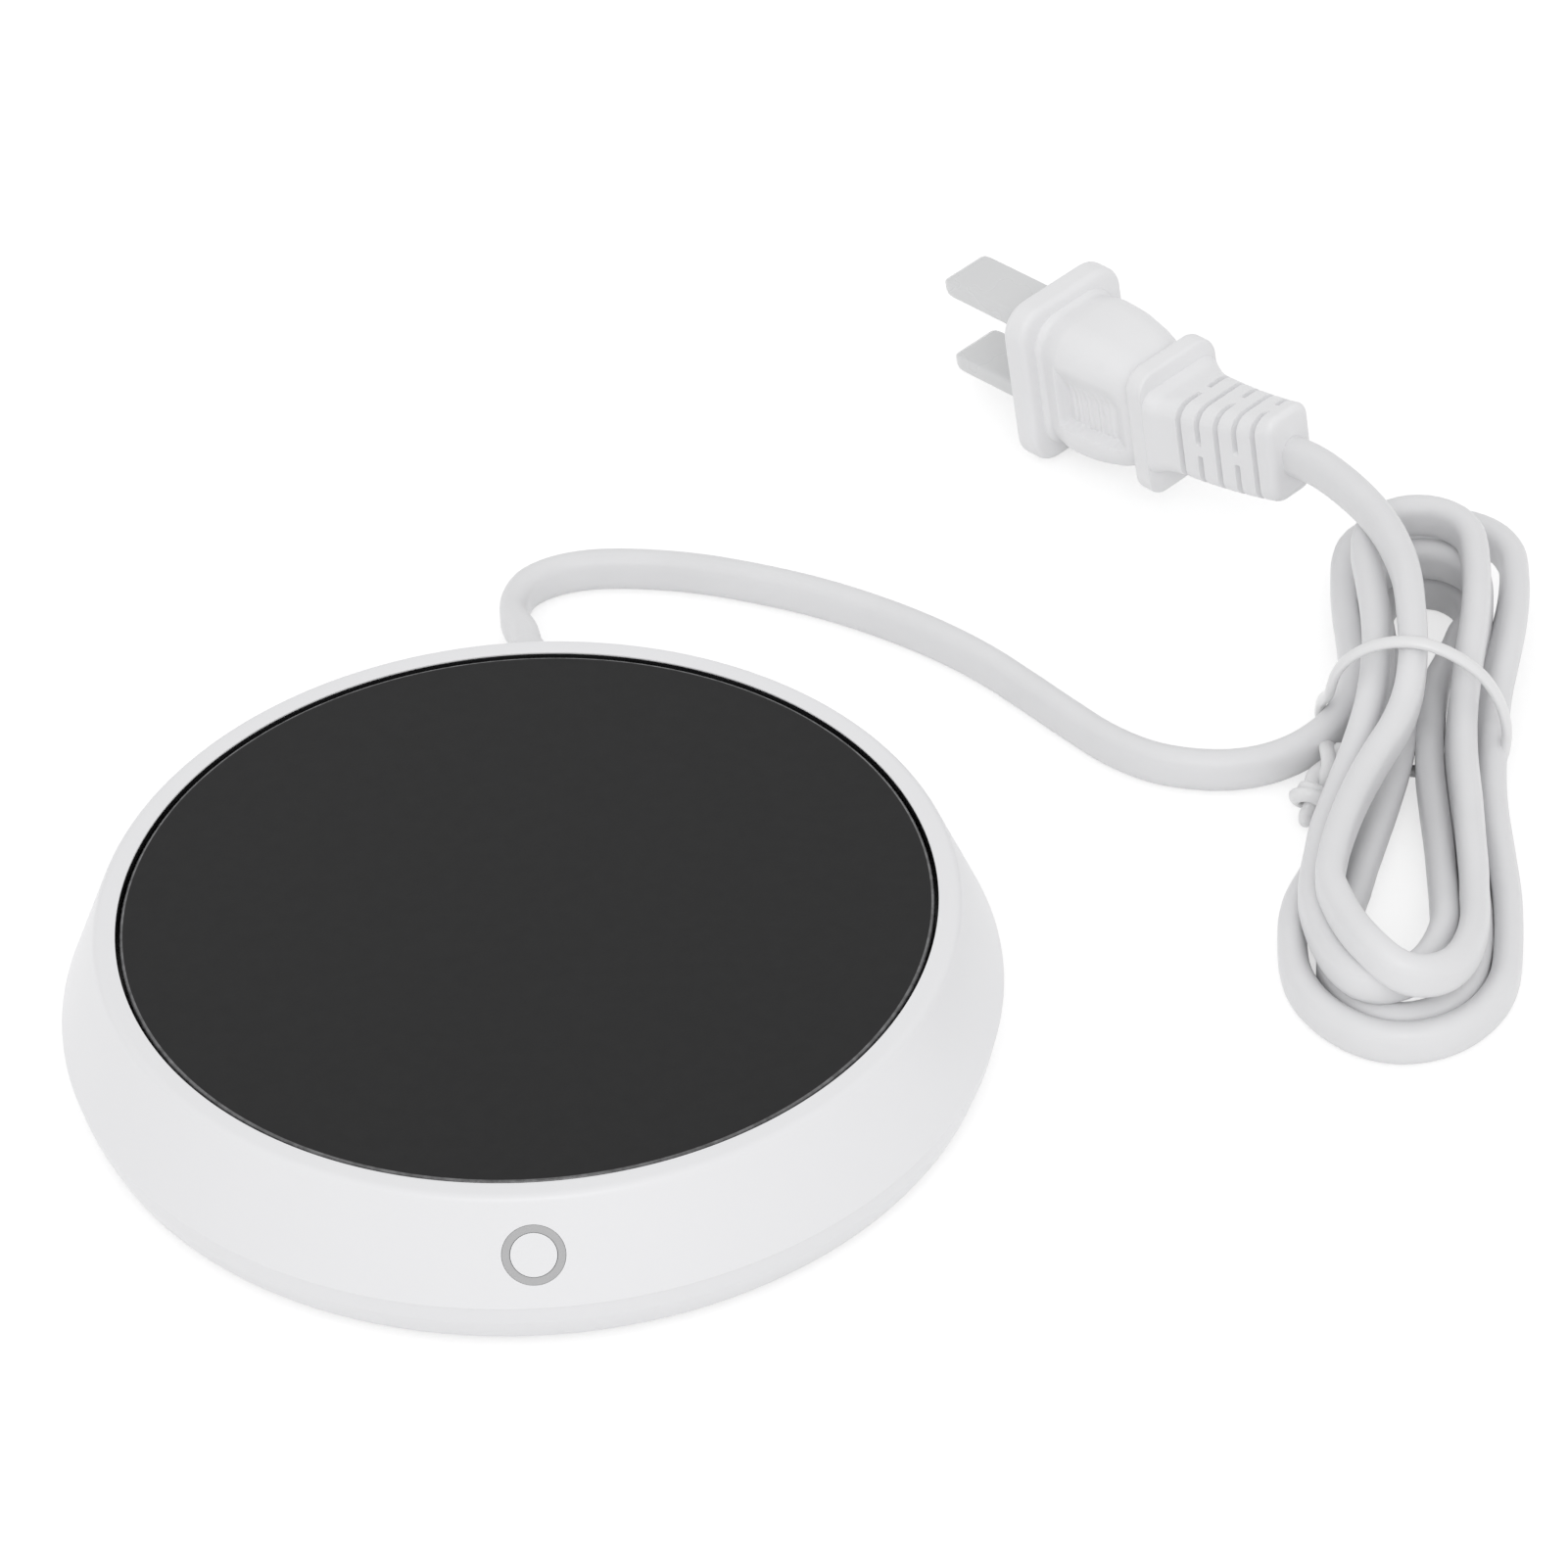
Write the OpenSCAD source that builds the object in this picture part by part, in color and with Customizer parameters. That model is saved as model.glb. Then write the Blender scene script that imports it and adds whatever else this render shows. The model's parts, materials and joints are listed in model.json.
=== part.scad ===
// Round electric mug warmer: a low white cone with a sprung black glass plate,
// a round push button in a light ring, and a flat mains cord folded into a hank.
// Origin: centre of the body on the table. +Z up, the button faces -Y, the cord leaves at +Y.

/* [Body] */
// Widest diameter of the body
body_d = 120; // [116:1:126]
// Height from the table to the rim
body_h = 21; // [20:0.5:24]
// Height of the widest line, where the shell meets the base
edge_z = 7.5; // [7:0.25:8]
// Width of the cone, seen from above
cone_w = 5.3; // [4.8:0.1:5.8]
// Width of the flat rim round the opening
rim_w = 2.7; // [2.4:0.1:3.2]
// Rounding between the flat rim and the cone
rim_round = 1; // [0.5:0.1:1.3]
// Height of the thin vertical lip at the opening
lip_t = 0.25; // [0.2:0.05:0.5]
// Wall thickness of the shell
shell_wall = 2; // [1.6:0.1:2.3]
// Distance that the underside's edge stands in from the widest line
base_inset = 1.8; // [1.2:0.1:2.6]
// Thickness of the base floor
floor_t = 2; // [1.6:0.2:2.4]
// Wall thickness of the base's side band
band_wall = 2.2; // [1.8:0.1:2.6]
// Step that the base stands back from the shell at the parting line
parting_step = 0.3; // [0.1:0.1:0.6]

/* [Feet] */
// Height that the feet lift the base
foot_gap = 1; // [0.6:0.1:1.6]
// Diameter of a foot
foot_d = 10; // [8:0.5:12]
// Depth of the pocket that holds a foot
foot_pocket = 0.8; // [0.4:0.1:1]
// Distance from the base's edge to a foot's centre
foot_inset = 13; // [11:0.5:16]

/* [Plate] */
// Gap all round between the plate and the opening
plate_gap = 0.5; // [0.35:0.05:0.8]
// Depth of the plate's top below the rim
plate_recess = 0.35; // [0.1:0.05:0.8]
// Thickness of the glass
glass_t = 3; // [2.4:0.2:3.6]
// Chamfer of the glass edge
glass_chamfer = 0.3; // [0.1:0.05:0.5]
// Travel of the plate under a mug
plate_travel = 0.8; // [0.4:0.1:1]
// Thickness of the silicone bead under the glass
bead_t = 0.45; // [0.3:0.05:0.7]
// Thickness of the aluminium heat spreader
spreader_t = 1.2; // [0.8:0.1:1.5]
// Thickness of the mica heating element
element_t = 0.8; // [0.6:0.1:1]
// Distance from the spreader's edge to the heating element
element_inset = 4.2; // [3:0.2:8]
// Thickness of the insulation felt
felt_t = 1.6; // [1.2:0.1:2]
// Wall thickness of the plate carrier
carrier_wall = 1.2; // [1:0.1:1.5]
// Width of the carrier's ring flange under the glass
flange_w = 5.1; // [4:0.1:5.6]

/* [Frame] */
// Thickness of the frame's collar around the plate
collar_wall = 1; // [0.8:0.1:1.1]
// Thickness of the ledge that stops the plate
ledge_t = 1.8; // [1.4:0.1:2]
// Diameter of a post under the ledge
post_d = 4.4; // [3.6:0.2:5]

/* [Springs] */
// Mean diameter of a plate spring
spring_d = 6; // [5.4:0.2:6.6]
// Wire diameter of a plate spring
spring_wire = 0.7; // [0.5:0.1:0.9]
// Turns of a plate spring
spring_turns = 4; // [3:1:5]
// Distance of the springs from the centre
spring_pos = 36; // [34:0.5:38]

/* [Button] */
// Height of the button's centre above the widest line
button_rise = 6.5; // [6:0.25:7]
// Outer diameter of the light ring
ring_d = 7.8; // [7:0.2:8.4]
// Width of the light ring's visible line
ring_w = 0.95; // [0.7:0.05:1.2]
// Travel of the button
button_travel = 0.5; // [0.2:0.05:0.6]
// Running clearance between the button and the ring
button_clear = 0.08; // [0.04:0.01:0.1]

/* [Electronics] */
// Side of the square main circuit board
board_side = 50; // [46:1:52]
// Thickness of the main circuit board
board_t = 1.4; // [1:0.1:1.6]
// Height of the bosses under the main board
board_gap = 1; // [0.6:0.1:1.4]
// Free space between the tallest parts and the carrier, past the plate's travel
headroom = 1.05; // [0.8:0.05:1.4]

/* [Cord] */
// Thickness of the flat cord
cord_t = 3.8; // [3.4:0.1:4.2]
// Width of the flat cord, which stands on edge
cord_w = 6; // [5.4:0.1:6.2]
// Distance from the widest line down to the cord's centre
cord_drop = 0.3; // [0.1:0.1:0.5]
// Length of the strain relief
relief_len = 20; // [20:1:24]
// Length of the strain relief inside the body
relief_in = 10; // [9:0.5:10.5]
// Wall of the strain relief around the cord
relief_wall = 1.3; // [1:0.1:1.4]

/* [Plug] */
// Centre distance of the two blades
blade_pitch = 12.7; // [12.5:0.1:12.9]
// Width of a blade
blade_w = 6.35; // [6:0.05:6.5]
// Thickness of a blade
blade_t = 1.5; // [1.3:0.1:1.7]
// Length of a blade outside the plug
blade_len = 17.4; // [15:0.2:18]
// Wall of the clear sleeves over the blades
sleeve_wall = 0.6; // [0.4:0.1:0.8]
// Height of the plug's front flange
plug_h = 25; // [23:0.5:26]
// Width of the plug's front flange
plug_w = 19.4; // [17:0.2:21]
// Thickness of the plug's front flange
plug_flange_t = 4; // [3:0.2:4.4]
// Length of the plug's grip
grip_len = 17.2; // [15:0.2:18]
// Thickness of the collar behind the grip
plug_collar_t = 3.2; // [3:0.2:5]
// Length of the slotted tail behind the collar
tail_len = 21.6; // [19:0.2:22]
// How far the tail is bent up at its end
tail_lift = 3.3; // [0:0.1:4]
// Distance between the tail's slots
slot_step = 3.3; // [3:0.1:3.6]
// Width of a slot
slot_w = 0.8; // [0.6:0.1:1]

/* [Hidden] */
$fn = 96;

white = "#f2f2f3";
black = "#303030";
steel = "#b9bcc0";
board_green = "#2f6b45";
eps = 0.01;
seat_gap = 0.1;     // gap between pieces that meet but don't touch
fit_gap = 0.05;     // gap of a piece in its own pocket

// Heights, from the table up
base_z = foot_gap;
floor_z = base_z + floor_t;
part_z = edge_z - 0.2;
glass_top = body_h - plate_recess;
glass_bottom = glass_top - glass_t;
flange_top = glass_bottom - bead_t;
spreader_bottom = glass_bottom - spreader_t;
element_bottom = spreader_bottom - element_t;
felt_bottom = element_bottom - felt_t;
carrier_bottom = felt_bottom - carrier_wall;
flange_bottom = flange_top - carrier_wall + 0.2;
ledge_top = flange_bottom - plate_travel - seat_gap;
ledge_bottom = ledge_top - ledge_t;
board_bottom = floor_z + board_gap;
board_top = board_bottom + board_t;
parts_h = carrier_bottom - plate_travel - headroom - board_top;
button_z = edge_z + button_rise;
cord_z = edge_z - cord_drop;

// Radii
edge_r = body_d / 2;
rim_r = edge_r - cone_w;
mouth_r = rim_r - rim_w;
cone_run = cone_w / (body_h - edge_z);
cone_tilt = atan(cone_run);
wall_run = shell_wall / cos(cone_tilt);
glass_r = mouth_r - plate_gap;
collar_r = mouth_r + collar_wall;
flange_r = glass_r - 0.5;
carrier_r = flange_r - flange_w;
spreader_r = carrier_r - carrier_wall - 0.5;
ledge_r = carrier_r + 0.5;
base_r = edge_r - base_inset;
band_top_r = edge_r - parting_step;

function cone_r(z) = edge_r - (z - edge_z) * cone_run;
function shell_in_r(z) = cone_r(z) - wall_run;
function polar(r, a, z = 0) = [r * cos(a), r * sin(a), z];

// ---- shared shapes ----

// Rectangle with round corners, made of true arcs
module rounded_rect(w, h, r) {
  square([w - 2 * r, h], center = true);
  square([w, h - 2 * r], center = true);
  for (x = [-1, 1], y = [-1, 1])
    translate([x * (w / 2 - r), y * (h / 2 - r)]) circle(r, $fn = 32);
}

// Slot shape standing on edge: round top and bottom
module stadium(w, h) {
  square([w, h - w], center = true);
  for (s = [-1, 1]) translate([0, s * (h - w) / 2]) circle(d = w, $fn = 32);
}

// Extrudes a shape drawn in X and Z along +Y, from y0 to y1
module along_y(y0, y1) {
  translate([0, y1, 0]) rotate([90, 0, 0]) linear_extrude(y1 - y0) children();
}

module at_angles(r, angles) {
  for (a = angles) translate(polar(r, a)) rotate(a) children();
}

module tube(h, r_out, r_in) {
  difference() {
    cylinder(h, r = r_out);
    translate([0, 0, -eps]) cylinder(h + 2 * eps, r = r_in);
  }
}

// Screw with its head's underside at z = 0 and its shank below
module screw(head_r, head_h, shank_r, shank_len) {
  difference() {
    cylinder(head_h, r = head_r, $fn = 32);
    for (a = [0, 90])
      rotate(a) translate([-head_r * 0.6, -head_r * 0.12, head_h * 0.45])
        cube([head_r * 1.2, head_r * 0.24, head_h]);
  }
  translate([0, 0, -shank_len]) cylinder(shank_len + eps, r = shank_r, $fn = 32);
}

// ---- swept tubes ----

function unit(v) = v / norm(v);
function heading(p, i) = unit(p[min(i + 1, len(p) - 1)] - p[max(i - 1, 0)]);
function across(t) = unit(cross([0, 0, 1], t));

// Ring of points of a section [side, height] set square to the path at point i
function ring(p, i, section) =
  let (t = heading(p, i), s = across(t), u = cross(t, s))
  [for (q = section) p[i] + q[0] * s + q[1] * u];

function flat_section(w, h, n) = [
  for (k = [0 : n - 1])
    let (a = 360 * k / n)
    [w / 2 * cos(a), w / 2 * sin(a) + sign(round(1000 * sin(a))) * (h - w) / 2]
];

function round_section(r, n) = [for (k = [0 : n - 1]) r * [cos(360 * k / n), sin(360 * k / n)]];

module sweep(path, section) {
  n = len(section);
  rings = len(path);
  points = [for (i = [0 : rings - 1]) each ring(path, i, section)];
  sides = [
    for (i = [0 : rings - 2], k = [0 : n - 1])
      [i * n + k, i * n + (k + 1) % n, (i + 1) * n + (k + 1) % n, (i + 1) * n + k]
  ];
  first = [for (k = [n - 1 : -1 : 0]) k];
  last = [for (k = [0 : n - 1]) (rings - 1) * n + k];
  polyhedron(points, concat(sides, [first, last]), convexity = 6);
}

// ---- housing ----

boss_angles = [20, 160, 200, 340];
post_angles = [45, 135, 225, 315];
boss_r = shell_in_r(edge_z) - 3.9;
boss_d = 5.6;
boss_split = 6.2;
pilot_r = 1.15;
post_r = collar_r - 3.4;
foot_r = base_r - foot_inset;
window_w = 22;
window_top = ledge_top + 2;
tongue_h = 1.4;
tongue_r = shell_in_r(part_z + tongue_h) - 0.15;
relief_w = cord_t + 2 * relief_wall;
relief_h = cord_w + 2 * relief_wall - 0.2;
relief_top = cord_z + relief_h / 2;

// Solid inside the shell's outer surface
module envelope() {
  rotate_extrude()
    polygon([[0, 0], [edge_r, 0], [edge_r, edge_z], [rim_r, body_h], [0, body_h]]);
}

module shell_profile() {
  corner = rim_round * tan((90 - cone_tilt) / 2);
  centre = [rim_r - corner, body_h - rim_round];
  arc = [for (a = [90 : -11 : cone_tilt]) centre + rim_round * [cos(a), sin(a)]];
  chamfer = mouth_r + body_h - lip_t;
  join_r = shell_in_r(body_h - 1.6);
  polygon(concat(
    [[mouth_r, body_h - lip_t], [mouth_r, body_h]],
    arc,
    [
      [cone_r(edge_z + 0.4), edge_z + 0.4], [edge_r - 0.05, edge_z], [edge_r - 0.2, part_z],
      [shell_in_r(part_z), part_z], [join_r, body_h - 1.6], [join_r, chamfer - join_r]
    ]
  ));
}

// Moves the button's pieces to the cone's face, with +Z pointing out of it
module on_face() {
  translate([0, -cone_r(button_z), button_z]) rotate([90 - cone_tilt, 0, 0]) children();
}

module relief_hole(grow) {
  along_y(edge_r - 8, edge_r + 1) translate([0, cord_z]) stadium(relief_w + grow, relief_h + grow);
}

module upper_shell() color(white) {
  boss_top = ledge_bottom - 0.3;
  difference() {
    union() {
      rotate_extrude($fn = 180) shell_profile();
      intersection() {
        envelope();
        union() {
          at_angles(boss_r, boss_angles) {
            translate([0, 0, boss_split]) cylinder(boss_top - boss_split, d = boss_d, $fn = 40);
            translate([0, -0.8, part_z + tongue_h + 0.2])
              cube([4.2, 1.6, boss_top - part_z - tongue_h - 0.2]);
          }
          on_face() for (x = [-1, 1]) translate([x * peg_x, peg_y, 0]) {
            translate([0, 0, board2_front]) cylinder(-shell_wall - board2_front + 0.4, r = 1.5, $fn = 32);
            translate([0, 0, board2_front - board2_t - 0.2]) cylinder(2, r = 0.75, $fn = 24);
          }
        }
      }
    }
    at_angles(boss_r, boss_angles)
      translate([0, 0, boss_split - eps]) cylinder(screw_len - 2, r = pilot_r, $fn = 32);
    on_face() translate([0, 0, -shell_wall - 1]) cylinder(shell_wall + 2, r = ring_d / 2 + fit_gap);
    relief_hole(2 * fit_gap);
    translate([-relief_w / 2 - fit_gap, edge_r - 8, 0]) cube([relief_w + 2 * fit_gap, 9, cord_z]);
  }
}

module base_profile() {
  bulge_z = base_z + (part_z - base_z) * 0.55;
  bulge_r = base_r + (band_top_r - base_r) * 0.72;
  polygon([
    [0, base_z], [base_r - 0.7, base_z], [base_r - 0.15, base_z + 0.25], [base_r + 0.1, base_z + 0.8],
    [bulge_r, bulge_z], [band_top_r, part_z], [band_top_r - band_wall, part_z],
    [base_r - band_wall, floor_z], [0, floor_z]
  ]);
}

clamp_y = edge_r - relief_in - 1.8;
clamp_x = 7.5;
clamp_w = 3.2;
clamp_t = 1.5;
cord_top = cord_z + cord_w / 2;
board_screw_pos = board_side / 2 - 3;
spring_angles = [30, 150, 270];
seat_z = floor_z + 3.4;
peg_r = 2.1;
screw_len = 8;

module base_cover() color(white) {
  clamp_boss_top = cord_top - 0.2;
  difference() {
    union() {
      rotate_extrude($fn = 180) base_profile();
      difference() {
        rotate_extrude($fn = 180) polygon([
          [tongue_r - 0.8, part_z - 1.6], [band_top_r - band_wall + 0.8, part_z - 1.6],
          [band_top_r - band_wall + 0.8, part_z - 0.2], [tongue_r, part_z + 0.1],
          [tongue_r, part_z + tongue_h], [tongue_r - 0.8, part_z + tongue_h]
        ]);
        at_angles(boss_r, boss_angles) cylinder(body_h, r = boss_d / 2 + 0.3, $fn = 40);
        translate([-window_w / 2, -edge_r, part_z]) cube([window_w, 20, tongue_h + 1]);
      }
      at_angles(boss_r, boss_angles)
        translate([0, 0, base_z]) cylinder(boss_split - base_z, r = 3.6, $fn = 40);
      at_angles(post_r, post_angles)
        translate([0, 0, floor_z - eps]) cylinder(ledge_bottom - floor_z + eps, d = post_d, $fn = 40);
      at_angles(spring_pos, spring_angles) {
        translate([0, 0, floor_z - eps]) cylinder(seat_z - floor_z + eps, r = spring_d / 2 + 0.8, $fn = 40);
        translate([0, 0, seat_z - eps]) cylinder(1.6, r = peg_r, $fn = 32);
      }
      for (x = [-1, 1], y = [-1, 1]) translate([x * board_screw_pos, y * board_screw_pos, floor_z - eps])
        cylinder(board_gap + eps, r = 2.6, $fn = 32);
      for (x = [-1, 1]) translate([x * clamp_x, clamp_y, floor_z - eps])
        cylinder(clamp_boss_top - floor_z, r = 2.4, $fn = 32);
      translate([-clamp_x, clamp_y - clamp_w / 2, floor_z - eps])
        cube([2 * clamp_x, clamp_w, cord_z - cord_w / 2 - floor_z + eps]);
    }
    at_angles(boss_r, boss_angles) {
      translate([0, 0, base_z - eps]) cylinder(head_seat - base_z + eps, r = 2.7, $fn = 40);
      cylinder(boss_split + 1, r = 1.5, $fn = 32);
    }
    at_angles(foot_r, post_angles)
      translate([0, 0, base_z - eps]) cylinder(foot_pocket + eps, r = foot_d / 2 + fit_gap, $fn = 48);
    for (x = [-1, 1], y = [-1, 1]) translate([x * board_screw_pos, y * board_screw_pos, base_z + 0.6])
      cylinder(6, r = 1, $fn = 24);
    for (x = [-1, 1]) translate([x * clamp_x, clamp_y, base_z + 0.8]) cylinder(20, r = 1, $fn = 24);
    relief_hole(2 * fit_gap);
    translate([-relief_w / 2 - fit_gap, edge_r - 8, cord_z]) cube([relief_w + 2 * fit_gap, 9, 9]);
    translate([0, 0, base_z - eps]) linear_extrude(0.3 + eps) rounded_rect(44, 24, 2);
  }
}

head_seat = base_z + 2.6;

module housing_screws() color(steel)
  at_angles(boss_r, boss_angles)
    translate([0, 0, head_seat]) mirror([0, 0, 1])
      screw(2.4, 1.5, pilot_r, boss_split - head_seat + screw_len - 2.4);

module rubber_feet() color("#4a4a4c")
  at_angles(foot_r, post_angles) difference() {
    cylinder(foot_gap + foot_pocket, d = foot_d, $fn = 48);
    translate([0, 0, -eps]) tube(0.25, foot_d / 2 - 1.2, foot_d / 2 - 2);
  }

// ---- frame and sprung plate ----

hook_angles = [60, 180, 300];
hook_reach = 2.2;
hook_w = 8;

module plate_frame() color(black) {
  top = body_h - lip_t - seat_gap * 1.5;
  difference() {
    rotate_extrude($fn = 180) polygon([
      [mouth_r, top], [mouth_r, ledge_top], [ledge_r, ledge_top], [ledge_r, ledge_bottom],
      [collar_r, ledge_bottom], [collar_r, top - collar_wall]
    ]);
    for (a = [0, 180]) rotate(a)
      translate([-window_w / 2, -edge_r, 0]) cube([window_w, edge_r - ledge_r + 12, window_top]);
  }
}

module glass_plate() color(black)
  rotate_extrude($fn = 180) polygon([
    [0, glass_bottom], [glass_r - glass_chamfer, glass_bottom], [glass_r, glass_bottom + glass_chamfer],
    [glass_r, glass_top - glass_chamfer], [glass_r - glass_chamfer, glass_top], [0, glass_top]
  ]);

module plate_bead() color("#3c3c3c")
  translate([0, 0, flange_top]) tube(bead_t, flange_r - 0.4, carrier_r - carrier_wall + 0.4);

sensor_pos = [14, 16];
cutout_pos = [-18, 14];
cutout_r = 4.9;
sensor_r = 1.5;
lead_pos = [[-13, -13], [-13, -19]];
lead_r = 0.7;

// Holes for the cutout, the sensor and the leads, through whatever lies at the given heights
module plate_holes(z0, z1, cutout = true) {
  if (cutout)
    translate([cutout_pos.x, cutout_pos.y, z0]) cylinder(z1 - z0, r = cutout_r + seat_gap, $fn = 48);
  translate([sensor_pos.x, sensor_pos.y, z0]) cylinder(z1 - z0, r = sensor_r + seat_gap, $fn = 32);
  for (p = lead_pos) translate([p.x, p.y, z0]) cylinder(z1 - z0, r = lead_r + 0.4, $fn = 24);
}

module heat_spreader() color("#c9ccd0")
  translate([0, 0, spreader_bottom]) cylinder(spreader_t, r = spreader_r);

module heating_element() color("#b08a4e") difference() {
  translate([0, 0, element_bottom]) cylinder(element_t, r = spreader_r - element_inset);
  translate([sensor_pos.x, sensor_pos.y, element_bottom - eps])
    cylinder(element_t + 2 * eps, r = sensor_r + seat_gap, $fn = 32);
}

module insulation_felt() color("#e4ddcb") difference() {
  translate([0, 0, felt_bottom]) cylinder(felt_t, r = spreader_r - 0.3);
  plate_holes(felt_bottom - eps, element_bottom + eps);
}

module plate_carrier() color(black) {
  hook_top = ledge_bottom - seat_gap;
  hook_t = 1;
  inner_r = carrier_r - carrier_wall;
  difference() {
    union() {
      rotate_extrude($fn = 180) polygon([
        [0, carrier_bottom], [carrier_r, carrier_bottom], [carrier_r, flange_bottom],
        [flange_r, flange_bottom], [flange_r, flange_top], [inner_r, flange_top],
        [inner_r, felt_bottom], [0, felt_bottom]
      ]);
      for (a = hook_angles) rotate(a)
        translate([inner_r - 1, -hook_w / 2, hook_top - hook_t])
          cube([carrier_wall + 1 + hook_reach, hook_w, hook_t]);
      for (a = hook_angles) rotate(a)
        translate([inner_r - 1, -hook_w / 2, hook_top - hook_t])
          cube([carrier_wall + 1, hook_w, felt_bottom - hook_top + hook_t]);
      at_angles(spring_pos, spring_angles)
        translate([0, 0, carrier_bottom - 1.6]) cylinder(1.6 + eps, r = peg_r, $fn = 32);
      translate([0, 0, plunger_top]) cylinder(carrier_bottom - plunger_top + eps, r = 2, $fn = 32);
    }
    plate_holes(carrier_bottom - 2, felt_bottom + eps);
  }
}

module thermal_cutout() color(steel) translate([cutout_pos.x, cutout_pos.y, 0]) {
  translate([0, 0, carrier_bottom - 1.4])
    cylinder(element_bottom - carrier_bottom + 1.4, r = cutout_r, $fn = 48);
  translate([0, 0, carrier_bottom - 0.7]) cylinder(0.7, r = cutout_r + 1.5, $fn = 48);
}

module temperature_sensor() color("#1f1f22") translate([sensor_pos.x, sensor_pos.y, 0]) {
  translate([0, 0, carrier_bottom - 0.2])
    cylinder(spreader_bottom - carrier_bottom + 0.2, r = sensor_r, $fn = 32);
  translate([0, 0, carrier_bottom - 0.8]) cylinder(0.8, r = sensor_r + 0.9, $fn = 32);
}

module plate_springs() color(steel) {
  steps = 12;
  z0 = seat_z + spring_wire / 2;
  rise = carrier_bottom - seat_z - spring_wire;
  count = spring_turns * steps;
  coil = [for (i = [0 : count]) let (a = 360 * i / steps)
    [spring_d / 2 * cos(a), spring_d / 2 * sin(a), z0 + rise * i / count]];
  at_angles(spring_pos, spring_angles) sweep(coil, round_section(spring_wire / 2, 6));
}

// ---- main board ----

module on_board(x, y) translate([x, y, board_top]) children();

module circuit_board() color(board_green) difference() {
  translate([0, 0, board_bottom]) linear_extrude(board_t) rounded_rect(board_side, board_side, 2);
  for (x = [-1, 1], y = [-1, 1]) translate([x * board_screw_pos, y * board_screw_pos, 0])
    cylinder(20, r = 1.2, $fn = 24);
}

module board_screws() color(steel)
  for (x = [-1, 1], y = [-1, 1]) translate([x * board_screw_pos, y * board_screw_pos, board_top])
    screw(1.9, 1.2, 1, board_top - base_z - 1);

plunger_top = board_top + parts_h + plate_travel + 0.3;
plunger_depth = 1;

module gravity_switch() color("#202024") on_board(0, 0) difference() {
  translate([0, 0, parts_h / 2]) cube([12.8, 5.8, parts_h], center = true);
  translate([0, 0, parts_h - plunger_depth - plate_travel - 0.2]) cylinder(10, r = 1.05, $fn = 24);
  for (x = [-1, 1]) translate([x * 3.2, 5, 1.4]) rotate([90, 0, 0]) cylinder(10, r = 0.7, $fn = 24);
}

module gravity_plunger() color("#a83a2e")
  translate([0, 0, board_top + parts_h - plunger_depth])
    cylinder(plunger_top - board_top - parts_h + plunger_depth, r = 1, $fn = 24);

module film_capacitor() color("#c8a23a") on_board(13, 15) translate([0, 0, parts_h / 2])
  cube([13, 6, parts_h], center = true);

module smoothing_capacitor() color("#27303f") on_board(15, -13) {
  can_r = parts_h / 2;
  translate([-6, 0, can_r]) rotate([0, 90, 0]) cylinder(10.4, r = can_r, $fn = 40);
  translate([4.4, 0, can_r]) rotate([0, 90, 0]) cylinder(0.8, r = can_r - 0.4, $fn = 40);
  for (y = [-1, 1]) translate([4.9, y * 1.2, 0]) cylinder(can_r, r = 0.3, $fn = 16);
}

module power_triac() color("#2a2a2c") on_board(-16, 0) {
  translate([-5, -4.5, 0]) cube([10, 9, parts_h - 1.4]);
  difference() {
    translate([-5, 4.5 - eps, 0]) cube([10, 5.4, 1.3]);
    translate([0, 7.2, -1]) cylinder(4, r = 1.6, $fn = 32);
  }
}

module controller_chip() color("#232326") on_board(3, -12) {
  translate([-2.5, -2, 0.2]) cube([5, 4, 1.4]);
  for (i = [-1.5 : 1 : 1.5]) translate([i * 1.27 - 0.2, -3, 0]) cube([0.4, 6, 0.5]);
}

module board_fuse() color("#7a4b32") on_board(-8, 15) {
  translate([0, 0, 0.6]) cylinder(parts_h - 1.2, r = 3.2, $fn = 40);
  for (x = [-1, 1]) translate([x * 1.8, 0, 0]) cylinder(0.8, r = 0.35, $fn = 16);
}

terminal_pos = [2, 20.5];
terminal_hole = 0.43;   // height of the lead holes, as a share of the tallest part's

module terminal_block() color("#3f7f4f") on_board(terminal_pos.x - 2, terminal_pos.y) difference() {
  translate([-4.5, -3, 0]) cube([9, 6, parts_h]);
  for (x = [-1, 1]) {
    translate([x * 2.2, 5, terminal_hole * parts_h]) rotate([90, 0, 0]) cylinder(6, r = 1, $fn = 24);
    translate([x * 2.2, -0.6, 0.54 * parts_h]) cylinder(parts_h, r = 1.5, $fn = 32);
  }
}

// ---- button group, in the frame of the cone's face ----

ring_flange_r = ring_d / 2 + 1;
ring_back = -shell_wall - 1;
cap_r = ring_d / 2 - ring_w - button_clear;
wing_back = ring_back - 0.05 - 0.65;
stem_end = wing_back - 0.6;
tact_front = stem_end - button_travel - 0.1;
tact_t = 1.9;
board2_front = tact_front - tact_t;
board2_t = 1.2;
peg_x = 6.3;
peg_y = -1;

module light_ring() color("#b6b6b8") intersection() {
  on_face() difference() {
    union() {
      translate([0, 0, ring_back]) cylinder(-ring_back + 1, d = ring_d);
      translate([0, 0, ring_back]) cylinder(0.6, r = ring_flange_r);
    }
    translate([0, 0, ring_back - eps]) cylinder(10, r = ring_d / 2 - ring_w);
  }
  envelope();
}

module power_button() color(white) intersection() {
  on_face() {
    translate([0, 0, wing_back]) cylinder(1 - wing_back, r = cap_r);
    translate([-4.6, -1.4, wing_back]) cube([9.2, 2.8, 0.65]);
    translate([0, 0, stem_end]) cylinder(wing_back - stem_end + eps, r = 1.4, $fn = 32);
  }
  envelope();
}

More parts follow.
